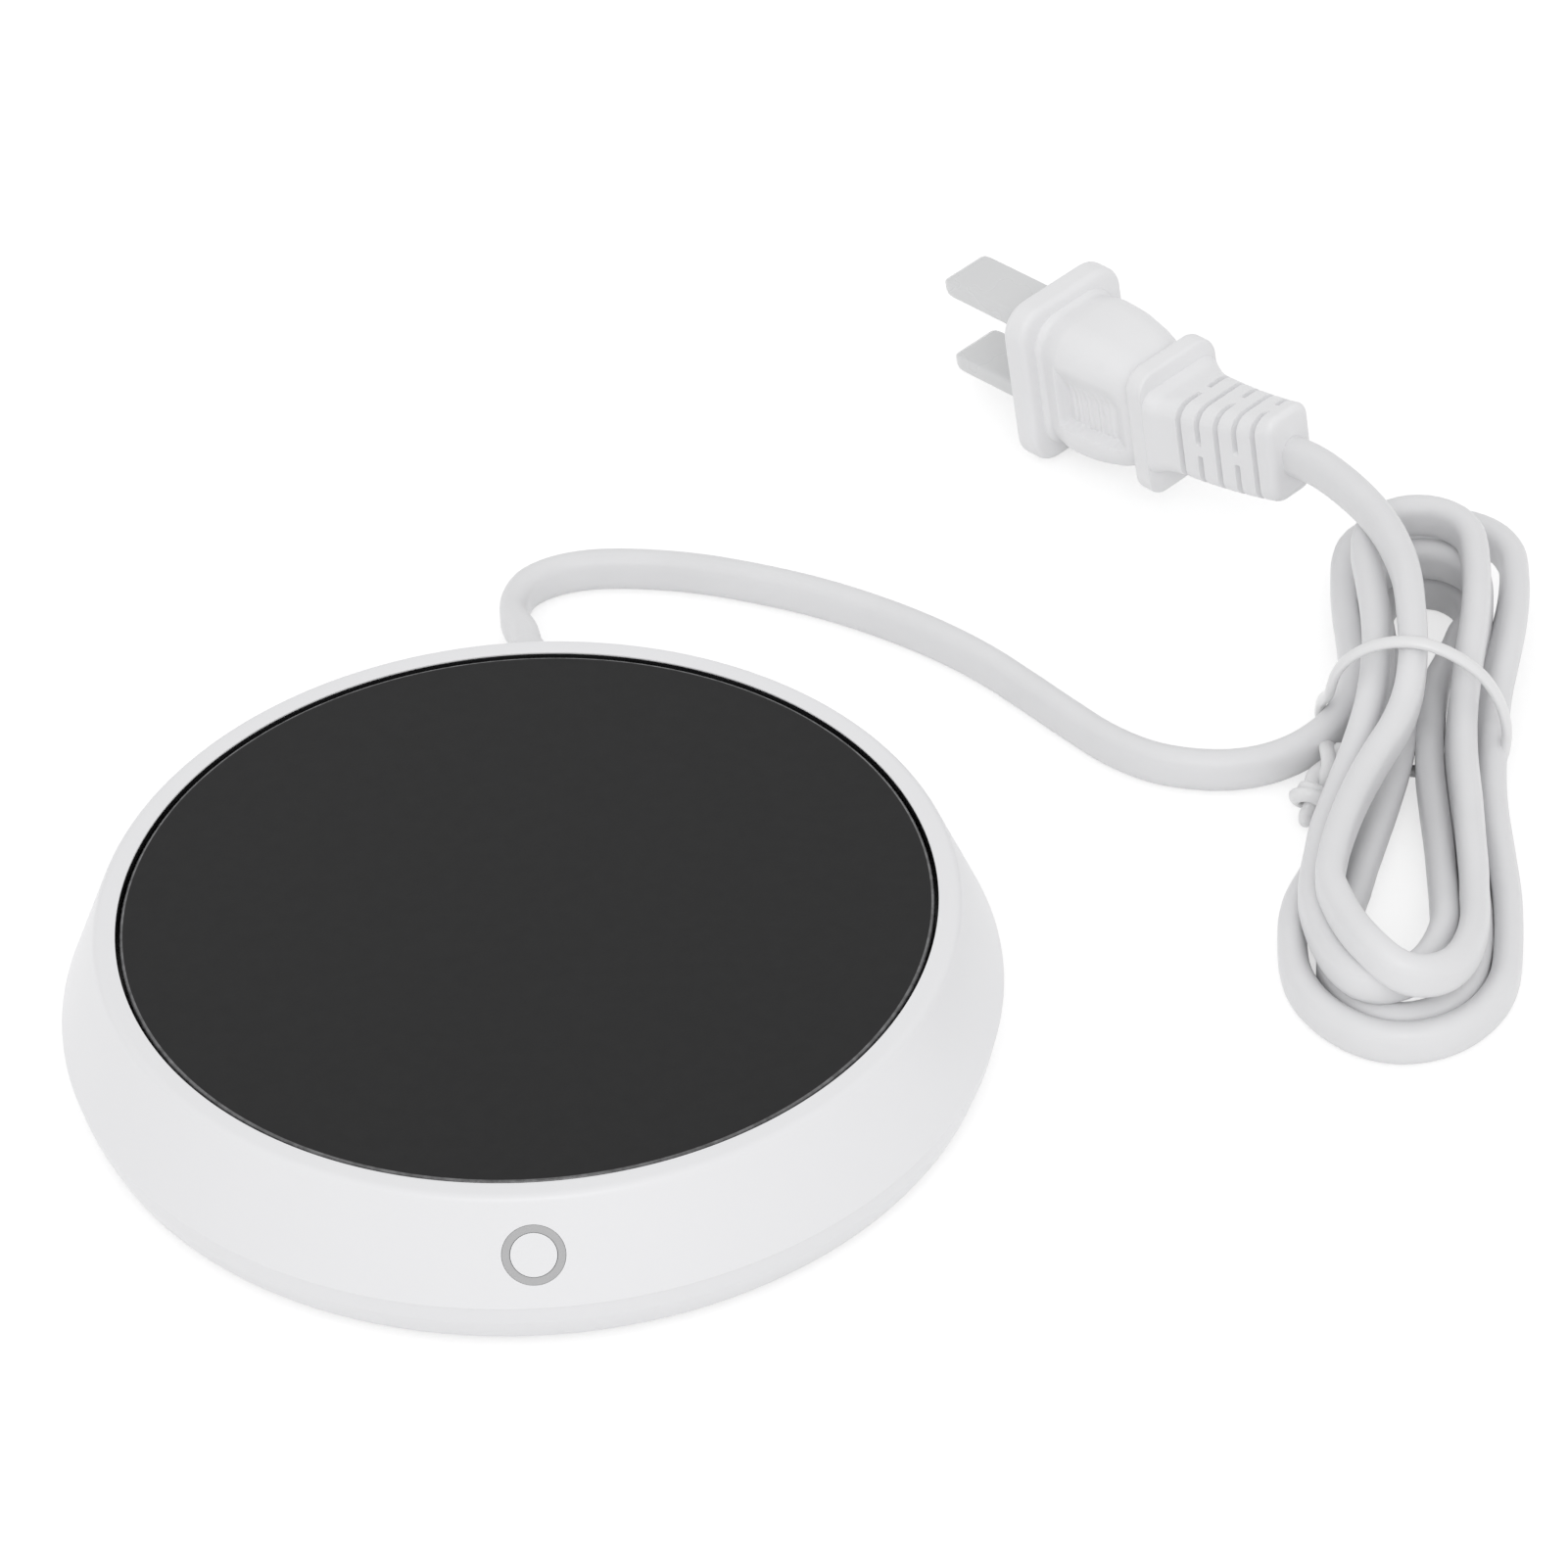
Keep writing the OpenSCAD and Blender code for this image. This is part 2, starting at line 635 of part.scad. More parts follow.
module tact_plunger() color("#1d1d1f") on_face()
  translate([0, 0, tact_front - 0.2]) cylinder(stem_end - tact_front + 0.2, r = 0.9, $fn = 32);

module tact_switch() color("#8f9296") on_face() translate([0, 0, board2_front]) difference() {
  linear_extrude(tact_t) rounded_rect(4.6, 4.6, 0.3);
  translate([0, 0, tact_t - 0.2 - button_travel - 0.1]) cylinder(4, r = 0.98, $fn = 32);
}

module button_board() color(board_green) on_face() translate([0, 0, board2_front - board2_t]) difference() {
  translate([0, peg_y, 0]) linear_extrude(board2_t) rounded_rect(16.4, 8, 1);
  for (x = [-1, 1]) translate([x * peg_x, peg_y, -1]) cylinder(4, r = 0.8, $fn = 24);
}

module status_leds() color("#f5efc8") on_face()
  for (x = [-1, 1]) translate([x * 2.4 - 1, -4.3, board2_front]) cube([2, 1.2, 0.8]);

// ---- wires ----

wire_r = 0.5;

module button_wires() color("#2c2c30") {
  from_y = 7.2 - cone_r(button_z);
  to_y = 1.6 - board_side / 2;
  run = to_y - from_y;
  x0 = spring_d / 2 + 5;
  pitch = 1.3;
  for (k = [0 : 2])
    sweep([
      [x0 - 4 + k * pitch, from_y, button_z - 6.8],
      [x0 - 2 + k * pitch, from_y + 0.2 * run, board_top + 0.6],
      [x0 - 0.5 + k * pitch, from_y + 0.46 * run, board_top + 1],
      [x0 + k * pitch, from_y + 0.72 * run, board_top + 1.6],
      [x0 + k * pitch, from_y + 0.87 * run, board_top + 1.6],
      [x0 + k * pitch, to_y, board_top + wire_r]
    ], round_section(wire_r, 8));
}

module heater_leads() color("#d9d2c4")
  for (p = lead_pos)
    sweep([
      [p.x, p.y, element_bottom], [p.x - 0.05, p.y, carrier_bottom - 0.6],
      [p.x - 1.2, p.y, carrier_bottom - 2.6], [p.x - 2.2, p.y, board_top + 3],
      [p.x - 2.3, p.y, board_top + 1.2], [p.x - 2.35, p.y, board_top]
    ], round_section(lead_r, 8));

module mains_leads() color("#d8d8da") {
  end_y = terminal_pos.y + 3;
  hole_h = terminal_hole * parts_h;
  for (s = [-1, 1])
    sweep([
      [0, clamp_y - 2.65, cord_z + s * 1.3], [0, clamp_y - 4, cord_z + s * 1.3],
      [s * 0.9, clamp_y - 8, cord_z + s], [s * 1.9, clamp_y - 13, cord_z + s * 0.5],
      [s * 2.2, end_y + 6, board_top + hole_h + 0.1], [s * 2.2, end_y - 1.4, board_top + hole_h]
    ], round_section(0.8, 8));
}

// ---- cord ----

module cord_clamp() color(black) difference() {
  translate([-clamp_x - 2.6, clamp_y - clamp_w / 2, cord_top]) cube([2 * clamp_x + 5.2, clamp_w, clamp_t]);
  for (x = [-1, 1]) translate([x * clamp_x, clamp_y, 0]) cylinder(30, r = 1.2, $fn = 24);
}

module clamp_screws() color(steel)
  for (x = [-1, 1]) translate([x * clamp_x, clamp_y, cord_top + clamp_t])
    screw(1.9, 1, 1, cord_top + clamp_t - floor_z);

module strain_relief() color(white) {
  y_in = edge_r - relief_in;
  y_out = y_in + relief_len;
  difference() {
    union() {
      along_y(y_in, edge_r + 0.1) translate([0, cord_z]) stadium(relief_w, relief_h);
      intersection() {
        along_y(edge_r - 6.4, edge_r - 4.4) translate([0, cord_z]) stadium(relief_w + 3, relief_h + 3);
        translate([-10, 0, cord_z - relief_h / 2]) cube([20, body_d, relief_h + 1]);
      }
      hull() {
        along_y(edge_r - 0.4, edge_r + 0.1) translate([0, cord_z]) stadium(relief_w, relief_h);
        along_y(y_out - 0.6, y_out) translate([0, cord_z]) stadium(cord_t + 0.8, cord_w + 0.8);
      }
    }
    along_y(y_in - 1, y_out + 1) translate([0, cord_z]) stadium(cord_t, cord_w);
  }
}

// Place and turn of the plug's face; the plug is drawn along +X from there
plug_at = [74.57, 123.15, 13.1];
plug_turn = [3.1, -4.5, -49.25];
plug_end = plug_flange_t + grip_len + plug_collar_t + tail_len;

function turned(v, r) =
  let (
    a = [v.x, v.y * cos(r.x) - v.z * sin(r.x), v.y * sin(r.x) + v.z * cos(r.x)],
    b = [a.x * cos(r.y) + a.z * sin(r.y), a.y, -a.x * sin(r.y) + a.z * cos(r.y)]
  )
  [b.x * cos(r.z) - b.y * sin(r.z), b.x * sin(r.z) + b.y * cos(r.z), b.z];

plug_exit = plug_at + turned([plug_end - 1.5, 0, 0.86 * tail_lift], plug_turn);

// Route of the cord's centre from the clamp to the hank
lead_path = [
  [0, clamp_y - 2.6, cord_z], [0, edge_r, cord_z], [0, 66, cord_z], [0, 70, cord_z], [-0.5, 74, 6.4],
  [-1.4, 78, 4.9], [-2.1, 82, 3.6], [-1.9, 85.6, 3.1], [-0.4, 89, 3.1], [3.4, 91.6, 3.1],
  [8.5, 92.7, 3.1], [15, 92.3, 3.1], [23, 90.6, 3.1], [31, 87.7, 3.1], [39, 84, 3.1],
  [47, 79.2, 3.1], [54.5, 73.6, 3.1], [61, 67.5, 3.1], [66.5, 61, 3.1], [71.5, 54.8, 3.1], [76.5, 49, 3.1], [82, 44.8, 3.1], [88, 42.9, 3.1],
  [94, 43.3, 3.1], [99.5, 45.5, 3.4], [104, 48.4, 4.5], [107.6, 52.6, 5.1], [109.3, 59.2, 5.9]
];

// Route of the cord's centre over the hank to the plug
tail_path = [
  [113.6, 35, 15.3], [115, 41, 17.4], [116.1, 46.5, 19.3], [116.7, 52, 20.8], [116.7, 57.5, 21.6],
  [116, 63.5, 21.7], [114.5, 69.8, 21.5], [112.2, 75.7, 21.2], [109.2, 81.6, 20.7], [106.9, 85.2, 20.3],
  plug_exit
];

module cord_lead() color("#e9e9ea") sweep(lead_path, flat_section(cord_t, cord_w, 12));

module cord_tail() color("#e9e9ea") sweep(tail_path, flat_section(cord_t, cord_w, 12));

hank_near = [111.4, 0.4];
hank_near_r = 16.2;
hank_waist = [118.1, 43];
hank_waist_r = 10.1;
hank_far = [120.9, 72.3];
hank_far_r = 13.1;
hank_low = 12.3;
hank_rise = [118.2, 50];
hank_rise_r = 8.3;
hank_top = [119.7, 71.9];
hank_top_r = 9.3;
hank_high = 18.4;
tie_t = 1.5;
tie_y = 42.5;
tie_x = 117;
tie_w = 25;
tie_h = 22.9;

// Slab across the hank, which the tie is cut from
module tie_slab(shrink, depth) {
  along_y(tie_y - depth / 2, tie_y + depth / 2)
    translate([tie_x, tie_h / 2 + 0.05]) rounded_rect(tie_w - 2 * shrink, tie_h - 2 * shrink, 7 - shrink);
}

module hank_tie() color("#f4f4f4") difference() {
  tie_slab(0, tie_t);
  tie_slab(tie_t, tie_t + 1);
}

module cord_hank() color("#e9e9ea") difference() {
  union() {
    linear_extrude(hank_low) hull() {
      translate(hank_near) circle(hank_near_r, $fn = 32);
      translate(hank_waist) circle(hank_waist_r, $fn = 32);
    }
    linear_extrude(hank_low) hull() {
      translate(hank_waist) circle(hank_waist_r, $fn = 32);
      translate(hank_far) circle(hank_far_r, $fn = 32);
    }
    linear_extrude(hank_high) hull() {
      translate(hank_rise) circle(hank_rise_r, $fn = 32);
      translate(hank_top) circle(hank_top_r, $fn = 32);
    }
  }
  difference() {
    tie_slab(-3, tie_t + 2 * fit_gap);
    tie_slab(tie_t + fit_gap, tie_t + 1);
  }
}

// ---- plug ----

module plug_place() translate(plug_at) rotate(plug_turn) children();

// Extrudes a shape drawn in Y and Z along +X, from x0 to x1
module along_x(x0, x1) {
  translate([x0, 0, 0]) rotate([90, 0, 90]) linear_extrude(x1 - x0) children();
}

// Section of the tail at a share t of its length, smaller by inset all round
function tail_rise(t) = 0.5 + (tail_lift - 0.5) * t * t;

module tail_section(t, inset = 0)
  translate([0, tail_rise(t)])
    rounded_rect(2 * (6.1 - 2.2 * t - inset), 2 * (6 + 1.1 * t - inset), 2.4);

// Slotted tail, wide at the collar, narrow and bent up at its end
module plug_tail(x0) {
  pieces = 3;
  first_slot = 5.3;
  bridge = 1.6;
  difference() {
    for (k = [0 : pieces - 1]) hull() {
      along_x(x0 + tail_len * k / pieces - 0.1, x0 + tail_len * k / pieces) tail_section(k / pieces);
      along_x(x0 + tail_len * (k + 1) / pieces - 0.1, x0 + tail_len * (k + 1) / pieces)
        tail_section((k + 1) / pieces);
    }
    for (i = [0 : 4]) {
      x = first_slot + i * slot_step;
      t = x / tail_len;
      difference() {
        translate([x0, 0, 0]) along_x(x - slot_w / 2, x + slot_w / 2) square([30, 34], center = true);
        translate([x0, 0, 0]) along_x(x - slot_w, x + slot_w) {
          tail_section(t, 1.1);
          translate([0, tail_rise(t)])
            square(i % 2 == 0 ? [bridge, 40] : [40, bridge], center = true);
        }
      }
    }
  }
}

module plug_body() color(white) plug_place() {
  grip_x = plug_flange_t;
  collar_x = grip_x + grip_len;
  slots_x = collar_x + plug_collar_t;
  grip_side = plug_w / 2 - 2.1;
  hollow_d = 1;
  rib_step = 0.98;
  difference() {
    union() {
      along_x(0, plug_flange_t) rounded_rect(plug_w, plug_h, 4);
      hull() {
        along_x(grip_x - 0.1, grip_x) rounded_rect(2 * grip_side - 1.6, plug_h - 5, 4);
        along_x(grip_x + 6, grip_x + 8) rounded_rect(2 * grip_side, plug_h - 2.6, 4.5);
        along_x(collar_x - 0.1, collar_x + 0.1) rounded_rect(2 * grip_side - 3.6, plug_h - 9, 3.5);
      }
      along_x(collar_x, slots_x) rounded_rect(plug_w - 4.8, plug_h - 5, 3);
      plug_tail(slots_x);
    }
    for (s = [-1, 1]) {
      translate([grip_x + 3.4, s * (grip_side - hollow_d + 1) - 1, -6]) cube([11.4, 2, 9]);
      translate([-eps, 0, s * blade_pitch / 2]) translate([0, -blade_w / 2, -blade_t / 2])
        cube([5 + eps, blade_w, blade_t]);
    }
    translate([plug_end - 1.5, 0, tail_lift]) along_x(0, 3) stadium(cord_t + 0.1, cord_w + 0.1);
  }
  for (s = [-1, 1], i = [0 : 7])
    translate([grip_x + 4.6 + i * rib_step, s * (grip_side - hollow_d - 0.1) - 0.35, -5])
      cube([0.5, 0.7, 7]);
}

module plug_blades() color("#c9c2a8") plug_place()
  for (s = [-1, 1]) translate([-blade_len, -blade_w / 2, s * blade_pitch / 2 - blade_t / 2])
    difference() {
      cube([blade_len + 5, blade_w, blade_t]);
      translate([3.4, blade_w / 2, -1]) cylinder(5, r = 1.55, $fn = 32);
    }

module blade_sleeves() color("#dfe3e6", 0.5) plug_place()
  for (s = [-1, 1]) translate([0, 0, s * blade_pitch / 2]) difference() {
    along_x(-blade_len - 1, -0.15)
      rounded_rect(blade_w + 0.3 + 2 * sleeve_wall, blade_t + 0.3 + 2 * sleeve_wall, 0.8);
    translate([-blade_len - 0.1, -blade_w / 2 - 0.1, -blade_t / 2 - 0.1])
      cube([blade_len + 1, blade_w + 0.2, blade_t + 0.2]);
  }

upper_shell();
base_cover();
plate_frame();
glass_plate();
plate_bead();
heat_spreader();
heating_element();
insulation_felt();
plate_carrier();
plate_springs();
thermal_cutout();
temperature_sensor();
circuit_board();
board_screws();
gravity_switch();
gravity_plunger();
film_capacitor();
smoothing_capacitor();
power_triac();
controller_chip();
board_fuse();
terminal_block();
light_ring();
power_button();
button_board();
tact_switch();
tact_plunger();
status_leds();
button_wires();
heater_leads();
mains_leads();
cord_clamp();
clamp_screws();
strain_relief();
cord_lead();
cord_hank();
cord_tail();
hank_tie();
plug_body();
plug_blades();
blade_sleeves();
housing_screws();
rubber_feet();
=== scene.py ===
import bpy
import bmesh
import json
import math
import numpy as np
from mathutils import Euler, Matrix, Vector


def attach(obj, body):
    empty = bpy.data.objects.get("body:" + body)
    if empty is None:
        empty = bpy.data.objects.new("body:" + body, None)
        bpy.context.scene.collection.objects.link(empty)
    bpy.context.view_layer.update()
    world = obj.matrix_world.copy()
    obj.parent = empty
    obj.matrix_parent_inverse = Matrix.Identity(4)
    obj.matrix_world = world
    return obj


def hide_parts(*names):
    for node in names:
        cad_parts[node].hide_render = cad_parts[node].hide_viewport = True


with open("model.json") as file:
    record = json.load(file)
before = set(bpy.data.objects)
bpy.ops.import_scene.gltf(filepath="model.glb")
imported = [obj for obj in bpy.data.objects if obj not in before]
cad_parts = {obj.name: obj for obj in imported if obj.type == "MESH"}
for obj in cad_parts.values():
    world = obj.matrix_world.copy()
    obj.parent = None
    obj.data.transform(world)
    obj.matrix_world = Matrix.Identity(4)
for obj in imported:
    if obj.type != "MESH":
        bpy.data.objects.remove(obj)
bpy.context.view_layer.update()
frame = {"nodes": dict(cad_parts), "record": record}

MM = 0.001
scene = bpy.context.scene
scene.view_settings.view_transform = "Standard"

# Sizes in millimetres, the same ones as in the solid model
BODY_R = 60.0           # widest edge of the body
EDGE_Z = 7.5            # height of that edge
RIM_R = 54.7            # top of the cone
BODY_TOP = 21.0
PART_Z = 7.3            # parting line of shell and base
SHELL_WALL = 2.0
ROOF_T = 1.6            # flat rim round the plate
MOUTH_R = 52.0          # opening for the plate
LIP_Z = 20.75           # lower edge of the mouth's lip
SLOPE = (BODY_R - RIM_R) / (BODY_TOP - EDGE_Z)
TILT = math.atan(SLOPE)
POST_AT = 53.9          # screw posts, from the middle
POST_ANGLES = (20, 160, 200, 340)
GLASS_TOP = 20.65
GLASS_R = 51.5
GLASS_T = 3.0
GLASS_FLAT_R = 50.6     # where the flat face meets the round edge
FOOT_AT = 45.2          # feet, from the middle
BUTTON_Z = 14.0
RING_HOLE_R = 3.95
CORD_Z = 7.2            # height of the cord's exit
CORD_EXIT_Y = 70.0
CORD_T = 3.8
CORD_W = 6.0
BLADE_OFF = 6.35        # each blade, from the plug's middle
PLUG_AT = Vector((74.57, 123.15, 13.1))
PLUG_TURN = Euler([math.radians(a) for a in (3.1, -4.5, -49.25)], "XYZ").to_matrix()
PLUG_END = 46.0         # length of the plug from its face
EXIT_LIFT = 2.9         # how far above its middle line the cord enters


# ---------------------------------------------------------------- camera

CAMERA_AT = Vector((31.69661, -759.42618, 654.02057))
CAMERA_RIGHT = (0.99870555, -0.03319594, -0.03853912)
CAMERA_UP = (0.05084169, 0.62861891, 0.77604986)
CAMERA_BACK = (-0.00153529, -0.77700469, 0.62949293)


def set_camera():
    data = bpy.data.cameras.new("camera")
    data.lens = 179.888
    data.sensor_width = 36.0
    data.clip_end = 20.0
    camera = bpy.data.objects.new("camera", data)
    scene.collection.objects.link(camera)
    turn = Matrix((CAMERA_RIGHT, CAMERA_UP, CAMERA_BACK)).transposed()
    camera.matrix_world = Matrix.Translation(CAMERA_AT * MM) @ turn.to_4x4()
    scene.camera = camera


# ---------------------------------------------------------------- mesh helpers

def finished(name, mesh):
    """Makes an object of a mesh that is drawn in millimetres."""
    mesh.transform(Matrix.Scale(MM, 4))
    piece = bpy.data.objects.new(name, mesh)
    scene.collection.objects.link(piece)
    return piece


def smooth(piece, angle=32):
    """Shades a piece smooth, but for its edges that turn by more than the angle in degrees."""
    piece.data.shade_smooth()
    piece.data.set_sharp_from_angle(angle=math.radians(angle))
    return piece


def outward(mesh):
    """Turns a closed mesh's faces outwards."""
    bm = bmesh.new()
    bm.from_mesh(mesh)
    bmesh.ops.recalc_face_normals(bm, faces=bm.faces)
    bm.to_mesh(mesh)
    bm.free()
    return mesh


def grid_mesh(name, rings):
    """Skin over rings of points, capped at both ends."""
    count = len(rings[0])
    faces = []
    for i in range(len(rings) - 1):
        this, after = i * count, (i + 1) * count
        for k in range(count):
            m = (k + 1) % count
            faces.append((this + k, this + m, after + m, after + k))
    faces.append(tuple(reversed(range(count))))
    last = (len(rings) - 1) * count
    faces.append(tuple(last + k for k in range(count)))
    mesh = bpy.data.meshes.new(name)
    mesh.from_pydata([tuple(p) for ring in rings for p in ring], [], faces)
    mesh.update()
    return outward(mesh)


# ---------------------------------------------------------------- cord

def half_turn(cx, cy, r_right, r_left, r_along, lean, a0, a1, z0, z1, n=12):
    """Part of a turn of the hank, rounder on one side than on the other and leaning over."""
    points = []
    for i in range(n + 1):
        t = i / n
        a = math.radians(a0 + (a1 - a0) * t)
        r = r_right if math.cos(a) > 0 else r_left
        points.append((cx + r * math.cos(a), cy + r_along * math.sin(a) - lean * math.sin(2 * a),
                       z0 + (z1 - z0) * math.sin(math.pi * t / 2)))
    return points


def smooth_path(points, step=1.2):
    """Centripetal spline through the points."""
    p = [Vector(q) for q in points]
    p = [2 * p[0] - p[1]] + p + [2 * p[-1] - p[-2]]
    out = []
    for i in range(1, len(p) - 2):
        a, b, c, d = p[i - 1:i + 3]
        t1 = (b - a).length ** 0.5
        t2 = t1 + (c - b).length ** 0.5
        t3 = t2 + (d - c).length ** 0.5
        n = max(1, round((c - b).length / step))
        for k in range(n):
            t = t1 + (t2 - t1) * k / n
            a1 = a.lerp(b, t / t1)
            a2 = b.lerp(c, (t - t1) / (t2 - t1))
            a3 = c.lerp(d, (t - t2) / (t3 - t2))
            b1 = a1.lerp(a2, t / t2)
            b2 = a2.lerp(a3, (t - t1) / (t3 - t1))
            out.append(b1.lerp(b2, (t - t1) / (t2 - t1)))
    out.append(p[-2])
    return out


# Middle of the cord: body to hank, and hank to plug
LEAD = [
    (0, 45.6, 7.2), (0, 60, 7.2), (0, 66, 7.2), (0, 70, 7.2), (-0.5, 74, 6.4), (-1.4, 78, 4.9),
    (-2.1, 82, 3.6), (-1.9, 85.6, 3.1), (-0.4, 89, 3.1), (3.4, 91.6, 3.1), (8.5, 92.7, 3.1),
    (15, 92.3, 3.1), (23, 90.6, 3.1), (31, 87.7, 3.1), (39, 84, 3.1), (47, 79.2, 3.1),
    (54.5, 73.6, 3.1), (61, 67.5, 3.1), (66.5, 61, 3.1), (71.5, 54.8, 3.1), (76.5, 49, 3.1),
    (82, 44.8, 3.1), (87.5, 42.8, 3.1), (93, 42.3, 3.1), (97.8, 43.1, 3.3), (101.9, 44.8, 3.8),
    (105.6, 47.8, 4.4), (108.5, 52.2, 5.0), (109.8, 58.6, 5.2), (110.1, 65.5, 5.0),
    (110.1, 72, 5.0), (110.3, 77.5, 5.1), (110.9, 82, 5.5), (112.2, 84.9, 5.9), (114.2, 86.3, 6.3),
    (116.6, 86.9, 6.6),
]
TAIL = [
    (114.5, 37.8, 15.6), (115.6, 41, 17.2), (116.5, 46.5, 19.3), (116.7, 52, 20.8), (116.7, 57.5, 21.6),
    (116, 63.5, 21.7), (114.5, 69.8, 21.5), (112.2, 75.7, 21.2), (109.2, 81.6, 20.7), (106.9, 85.2, 20.3),
]
# The hank's strands between its turns, from the lead to the tail
HANK_RUNS = [
    [(132.4, 70.2, 8.5), (130.9, 62.5, 8.4), (129.1, 55.5, 7.9), (127.6, 50, 6.2), (126.7, 44.5, 4.2),
     (126.0, 37, 3.1), (125.6, 29, 3.1), (125.6, 20, 3.1), (125.4, 11, 3.1)],
    [(97.5, 8.5, 3.1), (98.2, 12.1, 3.1), (99.4, 15.3, 3.1), (100.9, 18.4, 3.1), (102.6, 22.4, 3.1),
     (104.4, 27, 3.1), (106.2, 31.5, 3.1), (108.0, 36.2, 3.2), (109.4, 40.4, 4.1), (110.7, 44.6, 5.9),
     (111.9, 48.6, 7.6), (112.8, 53, 8.6), (113.2, 58, 8.9), (113.4, 63, 9.0), (113.5, 67, 9.1)],
    [(127.4, 67, 9.2), (126.7, 62.5, 8.7), (125.5, 57.5, 7.4), (124.1, 52, 5.6), (122.9, 46.5, 4.0),
     (122.1, 41, 3.2), (121.8, 34, 3.1), (121.7, 26, 3.1), (121.6, 18.2, 3.1), (121.5, 11.6, 3.1),
     (121.2, 5.1, 3.1)],
    [(102.2, 3.6, 3.1), (103.3, 7.0, 3.1), (104.6, 10.4, 3.1), (105.8, 14.0, 3.1), (107.2, 19.9, 3.1),
     (109.0, 26.1, 3.1), (111.0, 32.4, 3.1), (113.2, 39, 3.1), (115.1, 45.8, 3.1), (115.8, 52, 3.1),
     (115.3, 58, 3.1), (114.7, 63.5, 3.1)],
    [(126.5, 69.8, 3.1), (125.2, 67.6, 3.1), (123.8, 64, 3.1), (122.0, 59.9, 3.1), (120.8, 57.2, 3.1),
     (119.6, 52.3, 3.1), (118.6, 45.5, 3.1), (118.1, 38.6, 3.1), (118.1, 31.8, 3.1), (118.0, 25.1, 3.4),
     (117.6, 17.5, 4.4), (117.2, 10.2, 5.6)],
    [(100.7, 12.4, 8.7), (101.6, 16.6, 8.8), (102.5, 20.6, 9.0), (103.9, 24.6, 9.2),
     (105.7, 29.5, 9.6), (107.5, 34, 10.4), (109.2, 38.4, 11.7), (110.5, 42.4, 13),
     (111.6, 47.4, 14.4), (112.3, 53, 15.2), (112.6, 59, 15.6), (112.6, 65, 15.5)],
    [(126.8, 65.5, 15.3), (125.9, 58, 14.8), (124.2, 50, 13), (122.8, 42.5, 10.8),
     (122.0, 34.5, 9.1), (121.7, 25, 8.9), (121.3, 17, 8.9), (121.0, 11, 8.9)],
    [(102.7, 9.5, 14.2), (103.9, 14.0, 14.2), (105.5, 18.8, 14.2), (107.7, 24.3, 14.2),
     (110.4, 29.9, 14.3), (112.8, 34.1, 14.8)],
]
# Its turns, far and near in turn: the values of half_turn
HANK_TURNS = [
    (121.3, 76.0, 11.7, 11.1, 11.0, 0, 100, 4, 6.8, 8.4),
    (110.8, 2.2, 13.4, 13.6, 15.0, 0, -12, -178, 3.1, 3.1),
    (120.0, 70.6, 7.6, 6.6, 7.1, 0, 178, 2, 9.3, 9.4),
    (109.8, 3.7, 10.9, 8.5, 14.9, -0.5, -15, -165, 3.1, 3.1),
    (120.5, 72.3, 6.3, 6.0, 6.8, 0, 178, 2, 3.1, 3.1),
    (107.8, 10.6, 9.6, 7.8, 19.8, 1.0, -24, -172, 6.9, 8.7),
    (119.7, 71.9, 7.3, 7.2, 7.6, 0, 176, 2, 15.3, 15.3),
    (109.6, 8.2, 11.0, 7.9, 20.8, -1.4, -4, -168, 9.1, 14.2),
]
# Stretches that lean over: start and end along the cord, and the most that they turn in degrees
LAID_FLAT = ((236, 282, -38), (562, 613, 50))
HANK_FROM = 215.0       # along the cord, where strands begin to push each other
LOW_Z = 3.05            # lowest middle of the cord on the ground
OVER_TIE = 1.45         # how much higher it lies on the tie
TIE_Y, TIE_REACH, TIE_LEFT = 42.5, 5, 103


def settled(path, rounds=90, step=1.2):
    """Pushes the hank's strands clear of each other and of the tie under them."""
    p = np.array([tuple(q) for q in path])
    run = np.r_[0, np.cumsum(np.linalg.norm(np.diff(p, axis=0), axis=1))]
    n = round(run[-1] / step) + 1
    at = np.linspace(0, run[-1], n)
    p = np.stack([np.interp(at, run, p[:, k]) for k in range(3)], 1)
    home = p.copy()
    i = np.arange(n)
    apart = abs(i[:, None] - i[None, :]) > 12
    free = np.clip((at - HANK_FROM) / 20, 0, 1) * np.clip((run[-1] - at) / 20 - 0.3, 0, 1)
    free = free[:, None]

    def bend(q):
        inner = q[:-2] + q[2:] - 2 * q[1:-1]
        return np.r_[np.zeros((1, 3)), inner, np.zeros((1, 3))]

    first_bend = bend(home)
    flat = CORD_W - CORD_T
    for _ in range(rounds):
        gap = p[None] - p[:, None]
        gap[..., 2] = np.sign(gap[..., 2]) * np.maximum(0, abs(gap[..., 2]) - flat)
        far = np.linalg.norm(gap, axis=2)
        over = np.where(apart, np.clip(CORD_T + 0.05 - far, 0, None), 0)
        push = -(over / np.maximum(far, 0.05))[..., None] * gap
        touching = np.maximum(1, (over > 0).sum(1))[:, None]
        p += push.sum(1) / touching * 0.5 * free
        p += 0.3 * (bend(p) - first_bend) * free
        p += 0.004 * (home - p)
        tie = np.exp(-((p[:, 1] - TIE_Y) / TIE_REACH) ** 2) * (p[:, 0] > TIE_LEFT)
        p[:, 2] = np.maximum(p[:, 2], LOW_Z + OVER_TIE * tie)
    return [Vector(q) for q in p]


def plug_point(u, v=0.0, w=0.0):
    """Place of a point given from the plug's face: along it, across it and up."""
    return PLUG_AT + PLUG_TURN @ Vector((u, v, w))


def cord_route():
    """Middle of the whole cord, from inside the body to inside the plug."""
    points = list(LEAD)
    for turn, run in zip(HANK_TURNS, HANK_RUNS):
        points += half_turn(*turn) + run
    points += TAIL + [tuple(plug_point(PLUG_END - 1.5, 0, EXIT_LIFT))]
    return settled(smooth_path(points))


